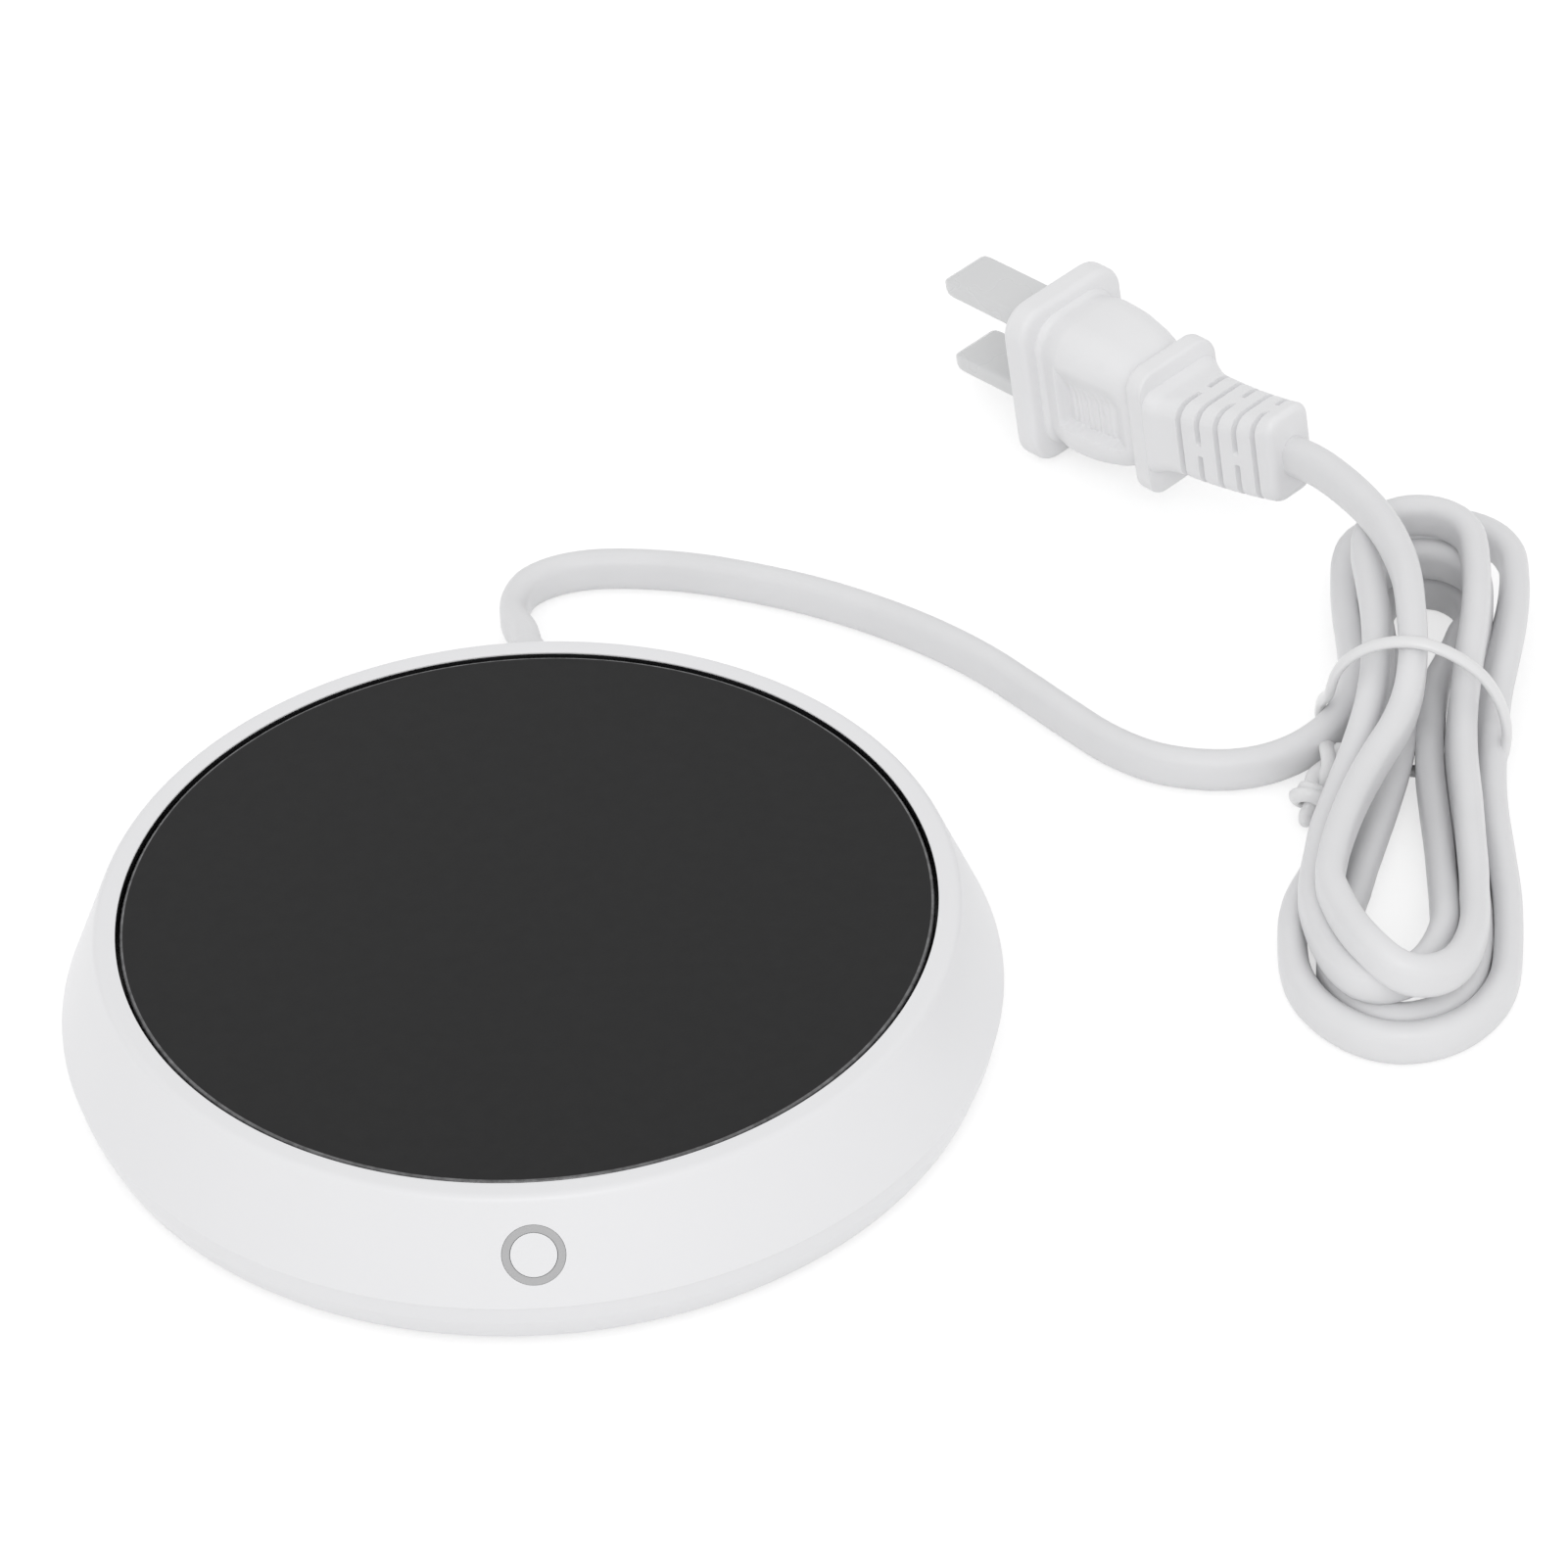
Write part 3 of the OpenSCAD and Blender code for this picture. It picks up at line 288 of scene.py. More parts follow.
def cord_section(n_end=9):
    """Upright flat section with round top and bottom."""
    r = CORD_T / 2
    straight = (CORD_W - CORD_T) / 2
    out = []
    for start, middle in ((0, straight), (math.pi, -straight)):
        for k in range(n_end):
            a = start + math.pi * k / (n_end - 1)
            out.append((r * math.cos(a), middle + r * math.sin(a)))
    return out


def swept(name, path, section):
    """Sweeps the cord's section, which stands on edge but for the stretches that lean over."""
    rings = []
    run = 0
    for i, p in enumerate(path):
        t = (path[min(i + 1, len(path) - 1)] - path[max(i - 1, 0)]).normalized()
        side = Vector((0, 0, 1)).cross(t).normalized()
        top = t.cross(side)
        run += (p - path[max(i - 1, 0)]).length
        roll = 0
        for start, end, most in LAID_FLAT:
            share = min(1, max(0, (run - start) / (end - start)))
            roll += math.radians(most) * math.sin(math.pi * share) ** 1.4
        c, s = math.cos(roll), math.sin(roll)
        side, top = c * side + s * top, c * top - s * side
        rings.append([p + a * side + b * top for a, b in section])
    return grid_mesh(name, rings)


# ---------------------------------------------------------------- finishes

NOISE_SPAN = (0.3, 0.7)     # the part of a noise's range that is used
RELIEF = 0.00005            # depth of the grain, in metres


def finish(name, color, color2, patch, grain, rough, bump=0.0, metal=0.0, specular=0.5,
           stretch=(1, 1, 1)):
    """A moulded, cast or rolled surface: patches between two colours, and fine grain in gloss and relief."""
    material = bpy.data.materials.new(name)
    material.use_nodes = True
    tree = material.node_tree
    shader = tree.nodes["Principled BSDF"]
    shader.inputs["Metallic"].default_value = metal
    shader.inputs["Specular IOR Level"].default_value = specular
    place = tree.nodes.new("ShaderNodeTexCoord")
    turn = tree.nodes.new("ShaderNodeMapping")
    turn.inputs["Scale"].default_value = stretch
    tree.links.new(place.outputs["Object"], turn.inputs["Vector"])

    def noise(scale, detail):
        node = tree.nodes.new("ShaderNodeTexNoise")
        node.inputs["Scale"].default_value = scale
        node.inputs["Detail"].default_value = detail
        tree.links.new(turn.outputs["Vector"], node.inputs["Vector"])
        return node.outputs["Fac"]

    fine = noise(grain, 3.0)
    ramp = tree.nodes.new("ShaderNodeValToRGB")
    for stop, at, tint in zip(ramp.color_ramp.elements, NOISE_SPAN, (color, color2)):
        stop.position, stop.color = at, (*tint, 1)
    tree.links.new(noise(patch, 4.0), ramp.inputs["Fac"])
    tree.links.new(ramp.outputs["Color"], shader.inputs["Base Color"])
    gloss = tree.nodes.new("ShaderNodeMapRange")
    for limit, value in zip(("From Min", "From Max", "To Min", "To Max"), (*NOISE_SPAN, *rough)):
        gloss.inputs[limit].default_value = value
    tree.links.new(fine, gloss.inputs["Value"])
    tree.links.new(gloss.outputs["Result"], shader.inputs["Roughness"])
    if bump:
        relief = tree.nodes.new("ShaderNodeBump")
        relief.inputs["Strength"].default_value = bump
        relief.inputs["Distance"].default_value = RELIEF
        tree.links.new(fine, relief.inputs["Height"])
        tree.links.new(relief.outputs["Normal"], shader.inputs["Normal"])
    return material


FINISHES = {
    "shell_white": finish("satin_white_shell", (0.81, 0.81, 0.822), (0.825, 0.825, 0.838),
                          25, 3000, (0.36, 0.46), 0.10),
    "cord_pvc": finish("cord_jacket", (0.76, 0.76, 0.77), (0.785, 0.785, 0.795),
                       90, 1800, (0.40, 0.52), 0.15),
    "plug_pvc": finish("moulded_plug", (0.82, 0.82, 0.83), (0.84, 0.84, 0.85),
                       70, 2200, (0.42, 0.55), 0.25),
    "tie_white": finish("tie_jacket", (0.8, 0.8, 0.805), (0.82, 0.82, 0.825),
                        150, 3000, (0.28, 0.38), 0.15),
    "plate_black": finish("black_glass_print", (0.0135, 0.0135, 0.014), (0.0155, 0.0155, 0.016),
                          500, 5200, (0.30, 0.46), 0.12, specular=0.2),
    "black_plastic": finish("black_moulding", (0.012, 0.012, 0.013), (0.018, 0.018, 0.019),
                            120, 2500, (0.16, 0.30), 0.1),
    "ring_grey": finish("light_guide_grey", (0.44, 0.44, 0.445), (0.46, 0.46, 0.465),
                        200, 3000, (0.34, 0.44), 0.05),
    "blade_brass": finish("nickel_brass", (0.66, 0.60, 0.46), (0.72, 0.66, 0.50),
                          120, 1500, (0.22, 0.36), 0.2, metal=1.0, stretch=(1, 6, 6)),
    "steel": finish("zinc_steel", (0.60, 0.61, 0.62), (0.68, 0.69, 0.70),
                    200, 2500, (0.28, 0.42), 0.2, metal=1.0),
    "dark_steel": finish("pressed_steel", (0.34, 0.34, 0.35), (0.40, 0.40, 0.41),
                         200, 2500, (0.35, 0.5), 0.2, metal=1.0),
    "aluminium": finish("rolled_aluminium", (0.74, 0.75, 0.76), (0.80, 0.80, 0.81),
                        80, 900, (0.30, 0.44), 0.3, metal=1.0, stretch=(1, 14, 14)),
    "foot_rubber": finish("foot_rubber", (0.10, 0.10, 0.105), (0.125, 0.125, 0.13),
                          150, 2600, (0.62, 0.78), 0.5),
    "bead_silicone": finish("silicone_bead", (0.075, 0.075, 0.08), (0.09, 0.09, 0.095),
                            150, 1500, (0.5, 0.62), 0.2),
    "mica": finish("mica_sheet", (0.46, 0.42, 0.34), (0.58, 0.54, 0.45), 400, 900, (0.35, 0.6), 0.6),
    "felt": finish("ceramic_felt", (0.74, 0.73, 0.70), (0.86, 0.85, 0.82),
                   900, 2500, (0.85, 0.95), 1.0),
    "board_green": finish("board_lacquer", (0.03, 0.15, 0.07), (0.05, 0.20, 0.10),
                          350, 1800, (0.28, 0.4), 0.3),
    "film_yellow": finish("film_capacitor_wrap", (0.68, 0.48, 0.07), (0.74, 0.53, 0.10),
                          200, 1800, (0.25, 0.38), 0.2),
    "can_sleeve": finish("capacitor_sleeve", (0.035, 0.045, 0.09), (0.05, 0.06, 0.11),
                         200, 1800, (0.22, 0.34), 0.1),
    "package_black": finish("epoxy_package", (0.024, 0.024, 0.026), (0.035, 0.035, 0.037),
                            300, 2500, (0.5, 0.65), 0.5),
    "plunger_red": finish("red_plunger", (0.42, 0.03, 0.02), (0.48, 0.05, 0.03),
                          200, 1800, (0.35, 0.45), 0.1),
    "terminal_green": finish("terminal_moulding", (0.06, 0.27, 0.11), (0.09, 0.32, 0.14),
                             200, 1800, (0.38, 0.5), 0.2),
    "fuse_brown": finish("fuse_body", (0.18, 0.10, 0.05), (0.24, 0.14, 0.08),
                         200, 1800, (0.35, 0.5), 0.2),
    "led_clear": finish("led_lens", (0.88, 0.86, 0.72), (0.92, 0.90, 0.78),
                        200, 1800, (0.12, 0.2), 0.05),
    "wire_white": finish("white_wire", (0.74, 0.74, 0.74), (0.80, 0.80, 0.80),
                         200, 1800, (0.4, 0.52), 0.1),
    "wire_black": finish("black_wire", (0.03, 0.03, 0.03), (0.05, 0.05, 0.05),
                         200, 1800, (0.4, 0.52), 0.1),
}
# Round edge of the glass: dark glass with strong specular, plus lighter noise patches in its colour that are
# painted glints, so the edge reads as a broken highlight
GLASS_EDGE_GLINTS = finish("glass_edge_painted_glints", (0.05, 0.05, 0.052), (0.16, 0.16, 0.165),
                    900, 4000, (0.05, 0.16), 0.1, specular=0.9)
SLEEVE = finish("milky_sleeve", (0.745, 0.75, 0.755), (0.755, 0.76, 0.765), 25, 60, (0.26, 0.30))
SLEEVE.node_tree.nodes["Principled BSDF"].inputs["Transmission Weight"].default_value = 0.08


def dress(piece, slot, body="housing", *stands_for):
    """Gives a piece its finish, unless it already has one, and its body, and hides the solids that it stands
    for.
    """
    if not piece.data.materials:
        piece.data.materials.append(FINISHES[slot])
    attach(piece, body)
    if stands_for:
        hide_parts(*stands_for)
    return piece


def dress_solids():
    """Every solid that stays in view gets the finish of its slot."""
    for part in frame["record"]["subparts"]:
        solid = frame["nodes"][part["node"]]
        if not solid.material_slots:
            solid.data.materials.append(None)
        for slot in solid.material_slots:
            slot.material = FINISHES.get(part["material_slot"], SLEEVE)


# ---------------------------------------------------------------- turned pieces

def turned(name, profile, steps):
    """Closed solid of revolution about Z from a closed outline of (radius, height) points."""
    bm = bmesh.new()
    loops = []
    for i in range(steps):
        a = 2 * math.pi * i / steps
        loops.append([bm.verts.new((r * math.cos(a), r * math.sin(a), z)) for r, z in profile])
    count = len(profile)
    for i in range(steps):
        j = (i + 1) % steps
        for k in range(count):
            m = (k + 1) % count
            if profile[k][0] < 1e-6 and profile[m][0] < 1e-6:
                continue
            bm.faces.new((loops[i][k], loops[j][k], loops[j][m], loops[i][m]))
    bmesh.ops.remove_doubles(bm, verts=bm.verts, dist=1e-4)
    bmesh.ops.recalc_face_normals(bm, faces=bm.faces)
    mesh = bpy.data.meshes.new(name)
    bm.to_mesh(mesh)
    bm.free()
    return mesh


def rounded(points, radius, steps):
    """Rounds the corners of a closed outline; radius is one number or one for each corner."""
    out = []
    n = len(points)
    for i, p in enumerate(points):
        r = radius[i] if isinstance(radius, (list, tuple)) else radius
        if not r:
            out.append(p)
            continue
        p = Vector(p)
        a = Vector(points[i - 1]) - p
        b = Vector(points[(i + 1) % n]) - p
        half = a.angle(b) / 2
        reach = min(r / math.tan(half), a.length * 0.48, b.length * 0.48)
        start, end = p + a.normalized() * reach, p + b.normalized() * reach
        for k in range(steps + 1):
            t = k / steps
            out.append(tuple(start.lerp(p, t).lerp(p.lerp(end, t), t)))
    return out


def keep_result(piece):
    """Makes what a piece's modifiers show its plain mesh."""
    depsgraph = bpy.context.evaluated_depsgraph_get()
    mesh = bpy.data.meshes.new_from_object(piece.evaluated_get(depsgraph))
    piece.modifiers.clear()
    piece.data = mesh
    return piece


def cut(piece, cutters, mode="DIFFERENCE"):
    """Cuts shapes out of a piece, or joins them to it."""
    for cutter in cutters:
        change = piece.modifiers.new("shape", "BOOLEAN")
        change.object = cutter
        change.operation = mode
        change.solver = "EXACT"
        keep_result(piece)
        bpy.data.objects.remove(cutter)
    return piece


def bar(name, outline, length, place):
    """Straight bar with the outline in X and Y, along Z, set at a place."""
    mesh = grid_mesh(name, [[(x, y, z) for x, y in outline] for z in (0, length)])
    mesh.transform(place)
    return finished(name, mesh)


def circle_outline(r, n=64):
    return [(r * math.cos(2 * math.pi * k / n), r * math.sin(2 * math.pi * k / n)) for k in range(n)]


def flat_outline(w, h, n=24):
    """Outline with straight sides and round ends, upright."""
    r = w / 2
    out = []
    for s in (0, 1):
        for k in range(n + 1):
            a = math.pi * (k / n + s)
            out.append((r * math.cos(a), (h / 2 - r) * (1 - 2 * s) + r * math.sin(a)))
    return out


def around(name, part, radius, count, first_angle, height, material):
    """Sets copies of a part on a circle about Z, each turned to face outwards."""
    tree = bpy.data.node_groups.new(name + "_ring", "GeometryNodeTree")
    face = tree.interface
    face.new_socket("Part", in_out="INPUT", socket_type="NodeSocketGeometry")
    sizes = []
    for label, kind, value in (("Radius", "NodeSocketFloat", radius * MM), ("Count", "NodeSocketInt", count),
                               ("First angle", "NodeSocketFloat", math.radians(first_angle)),
                               ("Height", "NodeSocketFloat", height * MM)):
        sizes.append((face.new_socket(label, in_out="INPUT", socket_type=kind).identifier, value))
    face.new_socket("Pieces", in_out="OUTPUT", socket_type="NodeSocketGeometry")
    new, link = tree.nodes.new, tree.links.new
    enter, leave = new("NodeGroupInput"), new("NodeGroupOutput")
    ring, copies = new("GeometryNodeMeshCircle"), new("GeometryNodeInstanceOnPoints")
    link(enter.outputs["Count"], ring.inputs["Vertices"])
    link(enter.outputs["Radius"], ring.inputs["Radius"])
    move, lift, spin = new("GeometryNodeTransform"), new("ShaderNodeCombineXYZ"), new("ShaderNodeCombineXYZ")
    link(enter.outputs["Height"], lift.inputs["Z"])
    link(enter.outputs["First angle"], spin.inputs["Z"])
    link(ring.outputs["Mesh"], move.inputs["Geometry"])
    link(lift.outputs[0], move.inputs["Translation"])
    link(spin.outputs[0], move.inputs["Rotation"])
    where, flat = new("GeometryNodeInputPosition"), new("ShaderNodeVectorMath")
    flat.operation = "MULTIPLY"
    flat.inputs[1].default_value = (1, 1, 0)
    aim = new("FunctionNodeAlignEulerToVector")
    aim.axis = "X"
    link(where.outputs[0], flat.inputs[0])
    link(flat.outputs[0], aim.inputs["Vector"])
    link(move.outputs[0], copies.inputs["Points"])
    link(enter.outputs["Part"], copies.inputs["Instance"])
    link(aim.outputs[0], copies.inputs["Rotation"])
    real, dye = new("GeometryNodeRealizeInstances"), new("GeometryNodeSetMaterial")
    dye.inputs["Material"].default_value = material
    link(copies.outputs[0], real.inputs[0])
    link(real.outputs[0], dye.inputs["Geometry"])
    link(dye.outputs[0], leave.inputs[0])
    piece = finished(name, part)
    change = piece.modifiers.new("ring", "NODES")
    change.node_group = tree
    for socket, value in sizes:
        change[socket] = value
    return keep_result(piece)


# ---------------------------------------------------------------- housing

def cone_r(z):
    """Radius of the cone's face at a height."""
    return BODY_R - (z - EDGE_Z) * SLOPE


def inner_r(z):
    """Radius of the cone's inner face at a height."""
    return cone_r(z) - SHELL_WALL / math.cos(TILT)


def face_place(z=0.0):
    """Place of the button on the cone, with +Z out of it, shifted along that by z."""
    return (Matrix.Translation((0, -cone_r(BUTTON_Z), BUTTON_Z))
            @ Matrix.Rotation(math.pi / 2 - TILT, 4, "X") @ Matrix.Translation((0, 0, z)))


def along_y(y, z):
    """Place on the Y axis, with +Z turned to point along it."""
    return Matrix.Translation((0, y, z)) @ Matrix.Rotation(-math.pi / 2, 4, "X")


def make_upper_shell():
    """Cone with a flat rim, open for the plate, the ring and the cord, with four screw posts."""
    roof = BODY_TOP - ROOF_T
    join = inner_r(roof)
    outline = rounded(
        [(MOUTH_R, LIP_Z), (MOUTH_R, BODY_TOP), (RIM_R, BODY_TOP), (BODY_R, EDGE_Z), (BODY_R - 0.2, PART_Z),
         (inner_r(PART_Z), PART_Z), (join, roof), (join, MOUTH_R + LIP_Z - join)],
        [0.08, 0.14, 1.3, 0.9, 0.1, 0, 0.5, 0], 8)
    shell = finished("upper_housing", turned("upper_housing", outline, 288))
    hole_w, hole_h, slot_h, deep = 6.5, 8.5, 9, 9
    half, behind = hole_w / 2, along_y(52, CORD_Z)
    cut(shell, [bar("ring_hole", circle_outline(RING_HOLE_R), 6, face_place(-4)),
                bar("cord_hole", flat_outline(hole_w, hole_h), deep, behind),
                bar("cord_slot", [(-half, 0), (half, 0), (half, slot_h), (-half, slot_h)], deep, behind)])
    bore, width, foot, end, top = 1.15, 2.8, 6.2, 12.2, 13.2
    post = turned("post", rounded([(bore, foot), (width, foot), (width, top), (0, top), (0, end), (bore, end)],
                                  [0.1, 0.2, 0.3, 0, 0, 0], 3), 40)
    posts = []
    for a in POST_ANGLES:
        copy = post.copy()
        a = math.radians(a)
        copy.transform(Matrix.Translation((POST_AT * math.cos(a), POST_AT * math.sin(a), 0)))
        posts.append(finished("post", copy))
    cut(shell, posts, "UNION")
    shell.data.materials.clear()
    return dress(smooth(shell), "shell_white", "housing", "upper_shell")


def make_feet():
    """Four pads, each with a shallow groove in its sole."""
    radius, height, groove = 5, 1.8, 0.25
    pad = turned("pad", rounded([(0, 0), (2.9, 0), (3.0, groove), (3.8, groove), (3.9, 0), (radius, 0),
                                 (radius, height), (0, height)], [0, 0, 0, 0, 0, 0.35, 0.1, 0], 4), 48)
    feet = around("rubber_feet_pads", pad, FOOT_AT, 4, 45, 0, FINISHES["foot_rubber"])
    return dress(smooth(feet), "foot_rubber", "housing", "rubber_feet")


# ---------------------------------------------------------------- plate

def make_plate():
    """Glass disc, printed black, with a polished round edge that carries painted glints."""
    bottom = GLASS_TOP - GLASS_T
    radii = [0, 6, 14, 24, 34, 42, 48, GLASS_FLAT_R]
    edge = rounded([(GLASS_FLAT_R, GLASS_TOP), (GLASS_R, GLASS_TOP), (GLASS_R, bottom), (GLASS_FLAT_R, bottom)],
                   [0, 0.42, 0.3, 0], 9)
    outline = [(r, GLASS_TOP) for r in radii] + edge[1:] + [(r, bottom) for r in reversed(radii[:-1])]
    plate = smooth(finished("heating_plate", turned("heating_plate", outline, 288)), 60)
    plate.data.materials.append(FINISHES["plate_black"])
    plate.data.materials.append(GLASS_EDGE_GLINTS)
    # the faces of the round edge get the edge material with the painted glints
    glint_band_from = (GLASS_R - 0.41) * MM
    for face in plate.data.polygons:
        if max(math.hypot(*plate.data.vertices[v].co.xy) for v in face.vertices) > glint_band_from:
            face.material_index = 1
    return dress(plate, "plate_black", "plate", "glass_plate")


# ---------------------------------------------------------------- strain relief

BOOT_GROOVES = (62.4, 64.6, 66.8)
GROOVE_HALF, GROOVE_DEPTH = 0.45, 0.55
BOOT_W = (6.4, 4.6)     # at the body and at the tip
BOOT_H = (8.4, 6.8)


def make_cord_boot():
    """Tapered boot round the cord, with a collar inside the wall and three grooves so that it bends."""
    stations = [(50, 0), (50.2, 0), (54, 0), (54.01, 1.4), (55.4, 1.4), (55.41, 0), (60, 0), (60.2, 0)]
    y = 60.5
    while y < 69.4:
        stations.append((y, 0))
        y += 0.12
    stations += [(69.6, -0.05), (69.8, -0.16), (69.93, -0.32), (CORD_EXIT_Y, -0.55)]
    rings = []
    for y, grow in stations:
        t = min(1, max(0, (y - BODY_R) / (CORD_EXIT_Y - BODY_R)))
        dip = sum(GROOVE_DEPTH * max(0, 1 - ((y - g) / GROOVE_HALF) ** 4) for g in BOOT_GROOVES)
        w = BOOT_W[0] + (BOOT_W[1] - BOOT_W[0]) * t + 2 * (grow - dip)
        h = BOOT_H[0] + (BOOT_H[1] - BOOT_H[0]) * t + 2 * (grow - dip)
        rings.append([(x, y, CORD_Z + z) for x, z in flat_outline(w, h, 20)])
    boot = smooth(finished("cord_boot", grid_mesh("cord_boot", rings)), 40)
    return dress(boot, "cord_pvc", "housing", "strain_relief")


# ---------------------------------------------------------------- plug

FLANGE_U, COLLAR_U, TAIL_U = 4.0, 21.2, 24.4    # end of the flange, start of the collar and of the tail
GRIP_U = (7.4, 18.6)
GRIP_DEPTH, RIB_HEIGHT, RIB_STEP = 2.0, 0.3, 0.98
SLOT_W, SLOT_DEPTH = 0.75, 1.0
SLOT_U = [TAIL_U + 5.3 + 3.3 * i for i in range(5)]


def step(x, a, b):
    """Smooth step from 0 at a to 1 at b."""
    t = min(1.0, max(0.0, (x - a) / (b - a)))
    return t * t * (3 - 2 * t)


def edge_round(d, r):
    """Drop of a rounded edge at distance d from the face, for radius r."""
    return r - math.sqrt(max(0.0, r * r - (r - d) ** 2)) if d < r else 0.0


def curve(u, points):
    """Smooth curve through (u, value) points."""
    for (u0, a), (u1, b) in zip(points, points[1:]):
        if u <= u1:
            return a + (b - a) * step(u, u0, u1) * 0.5 + (b - a) * 0.5 * (u - u0) / (u1 - u0)
    return points[-1][1]


def tail_lift(u):
    """How far the tail is bent up at u."""
    return 0.5 + 2.85 * ((u - TAIL_U) / (PLUG_END - TAIL_U)) ** 2 if u > TAIL_U else 0.0


def plug_section(u):
    """Half width, half height and corner radius of the plug at u from its face."""
    if u <= FLANGE_U:
        drop = edge_round(u, 0.9) + edge_round(FLANGE_U - u, 1.0)
        return 9.7 - drop, 12.5 - drop, 4.2 - 0.6 * drop
    if u < COLLAR_U:
        foot = 0.6 * (1 - step(u, FLANGE_U, FLANGE_U + 0.9)) + 0.35 * step(u, COLLAR_U - 0.7, COLLAR_U)
        wide = curve(u, [(4, 7.0), (8, 7.6), (12, 7.5), (16, 7.0), (COLLAR_U, 6.0)])
        high = 6.0 + 4.6 * math.sqrt(max(0, 1 - max(0, (u - 8) / 13.4) ** 2.2)) - 0.5 * (1 - step(u, 4, 8.5))
        return wide + foot, high + foot, 4.6
    t = (u - TAIL_U) / (PLUG_END - TAIL_U)
    if u <= TAIL_U:
        drop = edge_round(u - COLLAR_U, 0.9)
        return 7.3 - drop, 10.0 - drop - edge_round(TAIL_U - u, 0.5), 2.9 - 0.5 * drop
    foot = 0.9 * (1 - step(u, TAIL_U - 0.6, TAIL_U + 2.0))
    flank = 1.2 * (1 - step(u, TAIL_U - 0.6, TAIL_U + 4.4))
    drop = edge_round(PLUG_END - u, 1.2)
    return 6.1 - 2.2 * t - drop + flank, 6.0 + 1.1 * t - drop + foot, 2.5 - 0.5 * drop


def plug_stations():
    """Places of the rings along the plug, close together where the shape turns."""
    marks = [0.0, 0.05, 0.15, 0.3, 0.5, 0.7, 0.9, 1.6, 2.8]
    marks += [FLANGE_U - d for d in (1.0, 0.8, 0.6, 0.4, 0.25, 0.12, 0.04, 0.0)]
    marks += [FLANGE_U + d for d in (0.0001, 0.1, 0.25, 0.4, 0.6, 0.9, 1.4, 2.0, 2.6, 3.0)]
    marks += [7.1 + 0.13 * i for i in range(93)]
    marks += [COLLAR_U - d for d in (1.9, 1.6, 1.3, 1.0, 0.7, 0.5, 0.35, 0.2, 0.0001)]
    marks += [COLLAR_U + d for d in (0.0, 0.05, 0.15, 0.3, 0.5, 0.7, 0.9, 1.6)]
    marks += [COLLAR_U + d for d in (2.4, 2.7, 2.8, 2.9, 3.0, 3.1, 3.17)]
    marks += [TAIL_U + d for d in (0.0, 0.0001, 0.1, 0.2, 0.35, 0.6, 0.9, 1.3, 1.7, 2.1, 2.8, 3.6, 4.2)]
    for u in SLOT_U:
        edge = SLOT_W / 2
        marks += [u + s * (edge + d) for s in (-1, 1) for d in (-0.12, -0.02, 0.04, 0.10, 0.18, 0.30)]
        marks += [u - 0.15, u + 0.15, u + 1.1, u + 1.6, u + 2.1]
    marks += [PLUG_END - d for d in (0.9, 0.75, 0.55, 0.35, 0.2, 0.08, 0.02, 0.0)]
    return sorted(marks)


def plug_relief(u, v, w, half_v, half_w):
    """How deep the grip's hollow, its ribs and the tail's slots go in at a point of the skin."""
    depth = 0.0
    side = abs(v) > half_v - 1.2
    if GRIP_U[0] - 0.6 < u < GRIP_U[1] + 1.5 and side:
        across = step(u, GRIP_U[0] - 0.25, GRIP_U[0] + 0.35) * (1 - step(u, GRIP_U[1] - 2.6, GRIP_U[1] + 1.2))
        tall = step(w, -4.7, -4.3) * (1 - step(w, 0.4, 6.2))
        depth += GRIP_DEPTH * across * tall
        rib = max(0.0, math.cos(2 * math.pi * (u - 8.8) / RIB_STEP)) ** 0.7
        fade = step(u, 8.2, 8.5) * (1 - step(u, 15.4, 16.4)) * step(w, -4.5, -4.0) * (1 - step(w, 1.6, 3.4))
        depth -= RIB_HEIGHT * rib * fade
    for i, slot in enumerate(SLOT_U):
        d = abs(u - slot) - SLOT_W / 2
        if d < 0.12:
            open_part = 1 - step(d, -0.10, 0.10)
            if i % 2 == 0 and abs(w) > half_w - 1.5:
                open_part *= step(abs(v), 0.75, 1.15)
            if i % 2 == 1 and abs(v) > half_v - 1.5:
                open_part *= step(abs(w), 0.85, 1.25)
            depth += SLOT_DEPTH * open_part
    return depth


def plug_ring(u):
    """Points of the plug's skin at u: a round-cornered outline with the relief cut in."""
    half_v, half_w, corner = plug_section(u)
    corner = min(corner, half_v - 0.5, half_w - 0.5)
    n_v, n_w, n_c = 30, 46, 9
    ring = []
    for sv, sw, start in ((1, 1, 0), (-1, 1, 90), (-1, -1, 180), (1, -1, 270)):
        cv, cw = sv * (half_v - corner), sw * (half_w - corner)
        for k in range(n_c):
            a = math.radians(start + 90 * k / (n_c - 1))
            ring.append((cv + corner * math.cos(a), cw + corner * math.sin(a), math.cos(a), math.sin(a)))
        if start in (0, 180):
            for k in range(1, n_v):
                ring.append((cv - sv * 2 * (half_v - corner) * k / n_v, sw * half_w, 0, sw))
        else:
            for k in range(1, n_w):
                ring.append((sv * half_v, cw - sw * 2 * (half_w - corner) * k / n_w, sv, 0))
    out = []
    for v, w, nv, nw in ring:
        d = plug_relief(u, v, w, half_v, half_w)
        out.append(plug_point(u, v - nv * d, w - nw * d + tail_lift(u)))
    return out


def make_plug():
    mesh = grid_mesh("plug_moulding", [plug_ring(u) for u in plug_stations()])
    return dress(smooth(finished("plug_moulding", mesh), 50), "plug_pvc", "housing", "plug_body")


